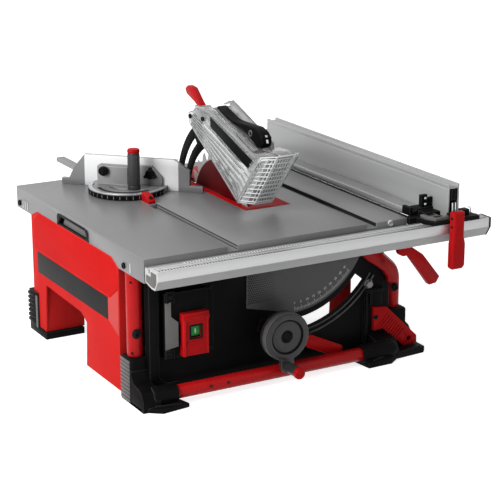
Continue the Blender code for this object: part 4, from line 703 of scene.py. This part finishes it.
# Switch
def switch_trim():
    """The switch's side cheek, flange and screws, the flap's rims and frame, and the start sign."""
    cheek = [(0, -106), (0.45, -104), (0.45, -132), (1, -143), (1, -190), (0, -198)]
    rear = [(63 + 22 * share, 44.9, z) for share, z in cheek]
    front = [(63 + 22 * share, 44.4 - 10 * share, z) for share, z in cheek]
    piece("switch_cheek", "base", "black_plastic", (loft, [rear, front]), look=GREY_PLASTIC)
    piece("switch_ears", "base", "black_plastic",
          (block, (65, 82), (41.5, 45), (-106, -84)),
          (block, (62.5, 80), (41.5, 45), (-214, -199)),
          (block, (152, 172), (59.6, 62.2), (-221, -84)),
          (bar, (143, PANEL_FACE, -60), (150, PANEL_FACE, -88), FRONT, 2, 3))
    heads = ((73, 41.5, -94), (70, 41.5, -206), (165, 59.6, -94), (165, 59.6, -213))
    piece("switch_screws", "base", "dark_steel", *((screw, head, FRONT, 4) for head in heads))
    foot = FLAP_FACE + 0.2
    piece("flap_rims", "flap", "red_plastic",
          (prism, "Z", [(92.2, foot), (96, 26), (98.5, foot)], (-211, 0), (-140, 0)),
          (prism, "Z", [(141, foot), (143.5, 26.2), (146.8, foot)], (-211, 0), (-140, 0)),
          (prism, "X", [(foot, -129), (26, -137), (foot, -144)], (92.2, 0), (146.8, 0)),
          (bar, (99, FLAP_FACE, -186), (141, FLAP_FACE, -186), FRONT, 2.4, 1.6))
    piece("flap_frame", "flap", "black_plastic",
          *((bar, (106, FLAP_FACE, z), (133, FLAP_FACE, z), FRONT, 4, 0.7) for z in (-152.5, -178)),
          *((bar, (x, FLAP_FACE, -151), (x, FLAP_FACE, -179.5), FRONT, 4, 0.7) for x in (107, 131.5)))
    piece("start_sign", "button", "green_plastic",
          (bar, (119.5, 33.4, -160), (119.5, 33.4, -169.5), FRONT, 2.4, 0.25), look=PALE_INK)


# Handwheel
def wheel_trim():
    """The handwheel's hub, band and face, and the grip's sleeve and cap."""
    axis = (WHEEL_AXIS[0], 0, WHEEL_AXIS[1])
    piece("wheel_hub", "wheel", "black_plastic",
          (turned, axis, FRONT, [(12, -0.3), (12, 2.4), (10.5, 3.8), (7, 3.8), (6.6, 3.2, 1), (6.2, 1.2, 1)]),
          (hoop, axis, FRONT, (30.6, 32.6), (-0.3, 3.4)))
    piece("wheel_band", "wheel", "black_plastic",
          (hoop, axis, FRONT, (46.6, 47.8), (-9, 3.6)), look=GREY_PLASTIC)
    piece("wheel_face", "wheel", "black_plastic",
          (hoop, axis, FRONT, (35, 45), (4.5, 6.5)), soft=0.7, look=WHEEL_GREY)
    tip = (WHEEL_AXIS[0], -52, WHEEL_AXIS[1] - 59)
    piece("grip_sleeve", "grip", "black_plastic",
          (turned, tip, FRONT, [(8.6, -40), (10.2, -37), (10.8, -22), (10.4, -10), (10.6, -6)]),
          look=WHEEL_GREY)
    piece("grip_cap", "grip", "red_plastic",
          (turned, tip, FRONT, [(11.4, -7), (11.4, -1.2), (10.8, 0.6), (7, 1.5), (2, 1.6)]), soft=0.5)


# Rails
RAIL_END = [(-5, -12), (-5, -40), (-31, -46), (-43, -46), (-55, -27), (-55, -8), (-44.6, -8), (-44.6, -10),
            (-42.8, -10), (-42.8, -8), (-24, -8), (-24, -20), (-18, -20), (-18, -12)]


def front_rail_trim():
    """The front rail as its real extrusion, with its rulers, its lips and end caps, and painted shade in its
    grooves and on its underside.
    """
    groove_shade = (RAIL_TOP - 0.2, RAIL_TOP + 0.15)
    piece("rail_ticks", "rails", "silver_profile",
          *((bar, (x, -53.6, RAIL_TOP), (x, -48, RAIL_TOP), UP, 3, 0.12) for x in range(6, 726, 6)),
          *((bar, (x, -31.5, RAIL_TOP), (x, -27, RAIL_TOP), UP, 2.4, 0.24) for x in range(70, 726, 6)),
          # These two dark lines paint the shade in the rail's grooves
          *((block, (0.5, 727), (y, y + 1), groove_shade) for y in (-46.5, -38)),
          soft=0, look=DARK_INK_AND_SHADE)
    ruler = (RAIL_TOP - 0.2, RAIL_TOP + 0.14)
    piece("rail_ruler", "rails", "silver_profile",
          (block, (66, 728), (-32.5, -25), ruler), soft=0, look=PALE_INK)
    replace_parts(piece(
        "front_extrusion", "rails", "silver_profile",
        (prism, "X", RAIL_END, (0, 0), (728.4, 0)), soft=0.5), "front_rail")
    # A darker slab that paints the shade on the chamfer facing down
    shade = ((0.2, -54.9, -27.6), (728, -54.9, -27.6), (728, -43.3, -45.8), (0.2, -43.3, -45.8))
    piece("rail_shade", "rails", "silver_profile", (slab, shade, (0, -0.35, -0.22)), soft=0, look=RAIL_SHADE)
    lip = (RAIL_TOP - 0.2, RAIL_TOP + 0.25)
    piece("rail_lips", "rails", "silver_profile",
          *((block, (0.3, 727), (y, y + 1.6), lip) for y in (-35, -47.8)), soft=0.2)
    plug = [(-10, -24), (-10, -37), (-31, -42), (-43, -42), (-50, -31), (-50, -14), (-29, -14), (-29, -24)]
    piece("rail_cap_left", "rails", "black_plastic",
          (prism, "X", plug, (0.5, 0), (-0.5, 0), (-1, -0.6)), look=GREY_PLASTIC)
    piece("rail_cap_right", "rails", "black_plastic",
          (prism, "X", RAIL_END, (728, 0.5), (732, 0.5), (732.8, -0.3)))


def rear_rail_trim():
    """The rear rail as its real extrusion, the table's dark right edge and the rails' front arm."""
    rear = [(615, -11), (641, -11), (641, -41), (615, -41), (615, -34), (621, -34), (621, -19), (615, -19)]
    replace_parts(piece(
        "rear_extrusion", "rails", "silver_profile",
        (prism, "X", rear, (36, 0), (733, 0)), soft=0.8), "rear_rail")
    piece("table_edge", "base", "black_plastic", (block, (569.8, 578.8), (2, 608), (-13, 0)), soft=0)
    piece("rail_arm", "rails", "black_plastic",
          (block, (571.5, 701), (-5.2, 1.5), (-34, -0.4)), (block, (580, 640), (1.4, 12), (-12, -0.4)))


def table_trim():
    """Painted shade on the walls of the table's two slots, and the bolt beside the fence."""
    shades = []
    for x, out, width, heights in (
        (498.5, LEFT, 7, (-5,)), (477.5, RIGHT, 7, (-5,)),
        (193, LEFT, 1.8, (-2.8, -8.9)), (172, RIGHT, 1.8, (-2.8, -8.9)),
    ):
        shades += [(bar, (x, 2, z), (x, 608, z), out, width, 0.15) for z in heights]
    piece("slot_shades", "base", "black_plastic", *shades, soft=0, look=DARK_INK_AND_SHADE)
    piece("rail_bolt", "base", "silver_profile",
          (turned, (530, 0, -5.5), FRONT, [(6.5, -0.3), (6.5, 2.4), (5.6, 3.4), (3.6, 3.4), (3.4, 1, 1)]))


# Rip fence
def fence_trim():
    """The fence as its real extrusion, its end plug, the clamp lever with its small parts, and the seal."""
    outline = [
        (649.5, 1), (662, 1), (662, 13), (661, 13.6), (661, 15.4), (662, 16), (662, 52), (661, 52.6),
        (661, 54.4), (662, 55), (662, 67), (657.5, 67), (657.5, 62), (640, 62), (640, 66.5), (636, 66.5),
        (636, 60.5), (637, 60), (637, 58), (636, 57.5), (636, 1), (648.5, 1), (648.5, 4), (639, 4),
        (639, 58), (659, 58), (659, 4), (649.5, 4),
    ]
    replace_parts(piece(
        "fence_extrusion", "fence", "silver_profile",
        (prism, "Y", outline, (-42, 0), (660, 0)), soft=0.7, look=FENCE_METAL), "fence_profile")
    piece("fence_plug", "fence", "black_plastic",
          (block, (639.3, 658.7), (-41, -20), (34, 57.7)),
          (block, (639.3, 642), (-40, -20), (4.3, 34)),
          (block, (656, 658.7), (-40, -20), (4.3, 34)),
          (bar, (649, -41, 36), (649, -41, 55), FRONT, 8, 0.6))
    piece("clamp_pins", "fence", "steel",
          *((bar, (x, -51, 11.5), (x + 4, -45, 31), FRONT, 2.6, 1.3, 1.3) for x in (640, 647)))
    head = [(3, -0.3), (3, 0.8), (2.4, 1.3), (1.6, 1.3), (1.5, 0.4)]
    piece("lever_screws", "fence_clamp", "dark_steel",
          *((turned, (630.6, -64, z), LEFT, head) for z in (5, -12)))
    lever = [(630.5, 17), (659, 17), (659, -30), (663, -46), (663, -94), (658, -99), (634, -99), (628.5, -94),
             (628.5, -46), (630.5, -38)]
    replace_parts(piece(
        "clamp_lever", "fence_clamp", "red_plastic",
        (prism, "Y", lever, (-56.4, 0), (-65, 0), (-70.8, -4)), soft=1.6), "fence_lever")
    piece("support_seal", "support", "black_plastic", (block, (579.2, 583), (33, 639.5), (0.08, 0.6)), soft=0)


def fence_head_trim():
    """The fence's head: its slide and bracket, and the latch, wire and pins on them."""
    slide = [(586, -30), (599, -55), (704, -55), (704, -7), (586, -7)]
    arm = [(580, 0.6), (635.6, 0.6), (635.6, 13), (600, 13), (592, 8.5), (587, 8.5), (587, 17), (580, 17)]
    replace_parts(piece(
        "clamp_head", "fence", "black_plastic",
        (prism, "Z", slide, (-7.7, 0), (-0.6, 0), (0.6, -1.2)),
        (block, (633, 656), (-52.6, -42.4), (-7.7, 12)),
        (block, (600, 635.6), (-18, 8), (0.5, 9)),
        (block, (580.2, 584), (7, 31.6), (0.08, 0.8)),
        (prism, "Y", arm, (6, 0), (31.8, 0)),
        (block, (607, 622), (7, 15), (12, 38.5)),
        (block, (620, 635.6), (9, 13), (12, 32)), soft=0.8), "fence_head")
    cover = [(592, -34), (601, -51), (622, -51), (622, -12), (592, -12)]
    piece("head_slide", "fence", "black_plastic",
          (prism, "Z", cover, (0.4, 0), (5.5, 0), (6.5, -1)),
          (block, (621, 640), (-51, -43), (0.4, 7)), look=GREY_PLASTIC)
    piece("head_slots", "fence", "black_plastic",
          (block, (603, 618), (-46, -38), (6, 6.9)), (block, (600, 616), (-30, -18), (6, 6.9)))
    piece("head_latch", "fence", "black_plastic", (block, (668, 690), (-40, -24), (0.4, 11)))
    piece("head_wire", "fence", "steel",
          (hoop, (690, -32, 6), FRONT, (8, 9.8), (-1, 1), -80, 80, 16))
    piece("bracket_pins", "fence", "steel",
          *((rivet, (617.5, 7, z), FRONT, 2.6) for z in (31, 19)))


# Miter gauge
def slanted(u, v, z):
    """A point by its distances along the miter fence and behind its pivot."""
    return MITER_PIVOT[0] + (u + v) * SLANT, MITER_PIVOT[1] + (v - u) * SLANT, z


def miter_scale():
    """The protractor's dark band with its ticks, its slot drawn as painted shade, and its bright rim."""
    pivot = (*MITER_PIVOT, 0)
    radius = 80.6
    piece("miter_band", "miter_protractor", "black_plastic",
          (hoop, pivot, UP, (79.6, radius), (0.7, 11), 135, 315, 60))
    ticks = []
    for i in range(19):
        angle = math.radians(138 + i * 9.6)
        out = Vector((math.cos(angle), math.sin(angle), 0))
        foot = Vector(pivot) + out * radius
        ticks.append((bar, foot + UP * 2.5, foot + UP * 9, out, 0.9, 0.2))
    piece("miter_ticks", "miter_protractor", "silver_profile", *ticks, soft=0, look=HEAD_METAL)
    # The slot is a dark arc on the top face: painted shade in the opening
    piece("miter_slot", "miter_protractor", "black_plastic",
          (hoop, pivot, UP, (55, 63), (11.8, 12.3), 165, 292, 40), soft=0, look=DARK_INK_AND_SHADE)
    piece("miter_rim", "miter_protractor", "silver_profile",
          (hoop, pivot, UP, (72, 80.4), (11.8, 13.6), 135, 315, 60))


def miter_clamps():
    """The two knobs that hold the miter fence, and its bracket."""
    front = Vector((-SLANT, -SLANT, 0))
    knob = [(7, -0.3), (7, 2), (10, 3), (10, 9), (8.5, 11), (3, 11.5)]
    wings = (Vector((0, 0, 11)), Vector((7, -7, -5)), Vector((-7, 7, -5)))
    tip = [(3.4, -6), (3.4, 3), (2.6, 4)]
    piece("miter_knobs", "miter_protractor", "black_plastic",
          (turned, slanted(-50, 1, 41), front, knob),
          (bar, slanted(-50, -9, 36), slanted(-50, -9, 51), front, 4, 4.5),
          (turned, slanted(46, 17, 36), front, knob),
          *((turned, Vector(slanted(46, 11, 36)) + wing, front, tip, 12) for wing in wings))
    bracket = [(8, 12.3), (70, 12.3), (70, 30), (48, 52), (8, 52)]
    piece("miter_bracket", "miter_protractor", "silver_profile",
          (loft, [[slanted(u, v, z) for u, z in bracket] for v in (17, 24.7)]), look=HEAD_METAL)


def miter_grip():
    """The miter handle's fluted sleeve and red cap."""
    stem = Vector((182.5, 420, 0))
    count = 22
    flutes = []
    for i in range(count):
        angle = math.tau * i / count
        out = Vector((math.cos(angle), math.sin(angle), 0))
        flutes.append((bar, stem + out * 12.2 + UP * 24, stem + out * 12.2 + UP * 84, out, 1.6, 0.4))
    piece("handle_grip", "miter_knob", "black_plastic",
          (turned, stem + UP * 16, UP, [(11.5, 0), (12.3, 2), (12.3, 71), (11.5, 73)]),
          *flutes, look=WHEEL_GREY)
    piece("handle_cap", "miter_knob", "red_plastic",
          (turned, stem + UP * 96, UP, [(12, -7), (12.8, -6.4), (12.8, -2), (11.4, 0.6), (6, 1.6), (2, 1.7)]),
          soft=0.5)


def miter_pointer():
    """The miter fence's upper lip, and the red pointer on the bar with its screw."""
    piece("miter_lip", "miter_protractor", "silver_profile",
          (bar, slanted(-103, 26, 67), slanted(103, 26, 67), UP, 1.6, 0.9), look=HEAD_METAL)
    side = [(371, -0.2), (337, -0.2), (337, 6), (350, 15), (371, 18)]
    piece("miter_pointer", "miter_runner", "red_plastic", (prism, "X", side, (175, 0), (190.5, 0)), soft=1.0)
    piece("pointer_screw", "miter_runner", "dark_steel", (screw, (182.7, 344, 10.8), (0, -0.57, 0.82), 4))


# Blade guard
def guard_wall():
    """The guard's upper left wall, with its bare band."""
    wall = [(392, 166), (376, 180), (316, 177), (130, 122), (150, 100), (206, 104), (298, 137)]
    piece("guard_wall", "guard", "clear_plastic", (prism, "X", wall, (306.5, 0), (303.4, 0)), soft=0.6)
    band = [(314, 171), (142, 116), (159, 96), (312, 150)]
    piece("guard_band", "guard", "black_plastic", (prism, "X", band, (303.6, 0), (302.6, -0.4)))


def guard_nose():
    """The guard's folded front: three clear plates, with bright edges, ribs both ways and slits drawn as grey
    bars of painted shade.
    """
    low = [Vector(spot) for spot in ((304, 199, 20), (326, 172, 20), (364, 172, 20), (386, 199, 20))]
    high = [Vector(spot) for spot in ((304, 110, 128), (326, 86, 132), (364, 86, 132), (386, 110, 128))]
    ahead = Vector((0, -0.8, -0.6))
    piece("guard_front", "guard", "clear_plastic",
          *((slab, (low[i], low[i + 1], high[i + 1], high[i]), (0, 2.2, 0)) for i in range(3)),
          soft=0.4, look=CLEAR_FRONT)
    edges = []
    for row in (low, high):
        edges += [(bar, first, second, ahead, 3.4, 1.6) for first, second in zip(row, row[1:])]
    edges += [(bar, first, second, ahead, 3.4, 1.8) for first, second in zip(low, high)]
    levels = 11
    for k in range(levels):
        row = [foot.lerp(head, (k + 0.5) / levels) for foot, head in zip(low, high)]
        edges += [(bar, first, second, ahead, 2.2, 2.6) for first, second in zip(row, row[1:])]
    slits = []
    for i, count in enumerate((3, 6, 3)):
        for k in range(count):
            share = (k + 0.7) / (count + 0.4)
            foot = low[i].lerp(low[i + 1], share)
            head = high[i].lerp(high[i + 1], share)
            edges.append((bar, foot.lerp(head, 0.06), foot.lerp(head, 0.94), ahead, 2.2, 1.6))
            if i == 1:
                start, end = (foot.lerp(head, height) + RIGHT * 3 for height in (0.25, 0.6))
                slits.append((bar, start, end, ahead, 1.8, 0.4))
    piece("nose_ribs", "guard", "clear_plastic", *edges, soft=0.5, look=CLEAR_FRONT)
    piece("nose_slits", "guard", "clear_plastic", *slits, soft=0, look=CLEAR_SLIT)


def guard_arm():
    """The black arm that links the guard to the knife, with its pin."""
    arm = [(384, 170), (379, 175), (352, 166), (318, 157), (290, 157), (226, 159), (205, 153), (194, 143),
           (193, 131), (199, 123), (213, 121), (238, 132), (276, 146), (318, 152), (352, 160)]
    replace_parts(piece(
        "link_arm", "guard", "black_plastic",
        (prism, "X", arm, (355, -1), (357, 0), (375, 0), (377, -1)), soft=1.0), "guard_arm")
    piece("arm_pin", "guard", "steel",
          (hoop, (355, 240, 145), LEFT, (4.5, 6.5), (-0.3, 1.2)),
          (bar, (366, 199, 148), (366, 193, 133), FRONT, 5, 2))


def guard_ribs():
    """Ribs along the guard's sides, behind its nose and on its upper edges, and dark lines of painted shade
    between them.
    """
    ribs = []
    for x, out in GUARD_SIDES:
        for i in range(6):
            share = i / 5
            rear = Vector((x, 396 - 6 * share, 138 + 22 * share))
            nose = Vector((x, 204 - 30 * share, 24 + 66 * share))
            ribs.append((bar, rear, nose, out, 2.2 if i else 4, 1.8))
        for i in range(8):
            share = i / 7
            low = Vector((x, 196 - 78 * share, 26 + 86 * share))
            ribs.append((bar, low, low + Vector((0, 22, 20 - 14 * share)), out, 2.4, 2.2))
        ribs.append((bar, (x, 118, 118), (x, 198, 24), out, 4, 2.6))
    ribs.append((bar, (305, 376, 180), (305, 316, 177), UP, 6, 3))
    ribs.append((bar, (305, 316, 177), (305, 130, 122), UP, 6, 3))
    ribs.append((bar, (385, 398, 172), (385, 372, 182), UP, 9, 3))
    ribs.append((bar, (385, 372, 182), (385, 206, 126), UP, 9, 3, 16))
    piece("guard_ribs", "guard", "clear_plastic", *ribs, soft=0.6, look=CLEAR_RIB)
    x, out = GUARD_SIDES[0]
    lines = 5
    shades = []
    for i in range(lines):
        share = (i + 0.5) / lines
        rear = Vector((x, 372 - 8 * share, 126 + 24 * share))
        nose = Vector((x, 214 - 30 * share, 32 + 64 * share))
        shades.append((bar, rear, nose, out, 1.1, 0.5))
    piece("guard_lines", "guard", "clear_plastic", *shades, soft=0, look=CLEAR_SHADE)


def guard_screws():
    """The screws in the guard's sides and in the table insert."""
    spots = ((398, 156), (344, 160))
    piece("guard_screws", "guard", "dark_steel",
          *((screw, (x + out.x, y, z), out, 5) for x, out in GUARD_SIDES for y, z in spots))
    head = [(4, -0.3), (4, 0.25), (2.2, 0.3), (2, -0.2, 1)]
    piece("insert_screws", "base", "dark_steel",
          *((turned, (x, y, 0), UP, head) for x in (331, 416) for y in (209, 566)))


side_panels()
skirt_trim()
leg_trim()
front_feet()
foot_sides()
scale_dots()
bevel_scale()
upright_trim()
panel_trim()
switch_trim()
wheel_trim()
front_rail_trim()
rear_rail_trim()
table_trim()
fence_trim()
fence_head_trim()
miter_scale()
miter_clamps()
miter_grip()
miter_pointer()
guard_wall()
guard_nose()
guard_arm()
guard_ribs()
guard_screws()

# Studio, in metres: each lamp's name, place, target, width and power
LAMPS = (
    ("lamp_left", (-2.8, -0.8, 1.9), (0, 0, 0.2), 1.6, 84),
    ("lamp_top", (-0.4, 0.9, 2.8), (0, 0, 0.3), 1.8, 24),
    ("lamp_front", (1.6, -2.9, 1.5), (0, 0, 0.2), 1.6, 6),
)
WHITE = (1, 1, 1, 1)
FLOOR_GREY = (0.8, 0.8, 0.8, 1)
FLOOR_SIZE = 30
FLOOR_GLOW = 0.8
SURROUND_GLOW = 1.0
SOFT_LIGHT = 0.25


def seen_straight(tree):
    """1 where a surface is seen directly, in a reflection or through glass, and 0 where it only lights."""
    rays = node(tree, "ShaderNodeLightPath").outputs
    links = [(0, rays["Is Camera Ray"]), (1, rays["Is Glossy Ray"])]
    seen = node(tree, "ShaderNodeMath", links, operation="MAXIMUM").outputs[0]
    links = [(0, seen), (1, rays["Is Transmission Ray"])]
    return node(tree, "ShaderNodeMath", links, operation="MAXIMUM").outputs[0]


def mix(tree, unseen, seen):
    """One shader where a surface only lights, and another where it is seen."""
    links = [(0, seen_straight(tree)), (1, unseen.outputs[0]), (2, seen.outputs[0])]
    return node(tree, "ShaderNodeMixShader", links).outputs[0]


def studio_floor():
    """A pale floor that keeps the shadow."""
    bpy.ops.mesh.primitive_plane_add(size=FLOOR_SIZE)
    floor = bpy.context.object
    floor.name = "studio_floor"
    made, tree, shader = graph("floor_white")
    shader.inputs["Base Color"].default_value = FLOOR_GREY
    shader.inputs["Roughness"].default_value = 0.9
    white = node(tree, "ShaderNodeEmission", in_0=WHITE, in_1=FLOOR_GLOW)
    both = node(tree, "ShaderNodeAddShader", [(0, white.outputs[0]), (1, shader.outputs[0])])
    tree.links.new(mix(tree, shader, both), tree.nodes["Material Output"].inputs["Surface"])
    floor.data.materials.append(made)


def studio_light():
    """A white surround that lights softly, and three wide lamps."""
    world = bpy.data.worlds.new("studio")
    bpy.context.scene.world = world
    world.use_nodes = True
    tree = world.node_tree
    tree.nodes.clear()
    bright = node(tree, "ShaderNodeBackground", in_0=WHITE, in_1=SURROUND_GLOW)
    soft = node(tree, "ShaderNodeBackground", in_0=WHITE, in_1=SOFT_LIGHT)
    end = node(tree, "ShaderNodeOutputWorld")
    tree.links.new(mix(tree, soft, bright), end.inputs[0])
    for name, spot, target, size, power in LAMPS:
        data = bpy.data.lights.new(name, "AREA")
        data.size = size
        data.energy = power
        lamp = bpy.data.objects.new(name, data)
        bpy.context.scene.collection.objects.link(lamp)
        lamp.location = spot
        lamp.rotation_euler = (Vector(target) - Vector(spot)).to_track_quat("-Z", "Y").to_euler()


# Camera, as fitted to the table's edges in the photograph
LENS = 116.6
SENSOR = 36
CAMERA_SPOT = (-1.5562, -2.8634, 1.1477)
CAMERA_RIGHT = Vector((0.8706, -0.4920, 0.0))
CAMERA_UP = Vector((0.1418, 0.2510, 0.9575))


def photo_camera():
    """A camera at the photograph's viewing angle."""
    data = bpy.data.cameras.new("camera")
    data.lens = LENS
    data.sensor_width = SENSOR
    camera = bpy.data.objects.new("camera", data)
    bpy.context.scene.collection.objects.link(camera)
    turn = Matrix((CAMERA_RIGHT, CAMERA_UP, CAMERA_RIGHT.cross(CAMERA_UP))).transposed()
    camera.matrix_world = Matrix.Translation(CAMERA_SPOT) @ turn.to_4x4()
    bpy.context.scene.camera = camera


studio_floor()
studio_light()
photo_camera()
bpy.context.scene.view_settings.view_transform = "Standard"

bpy.context.view_layer.update()
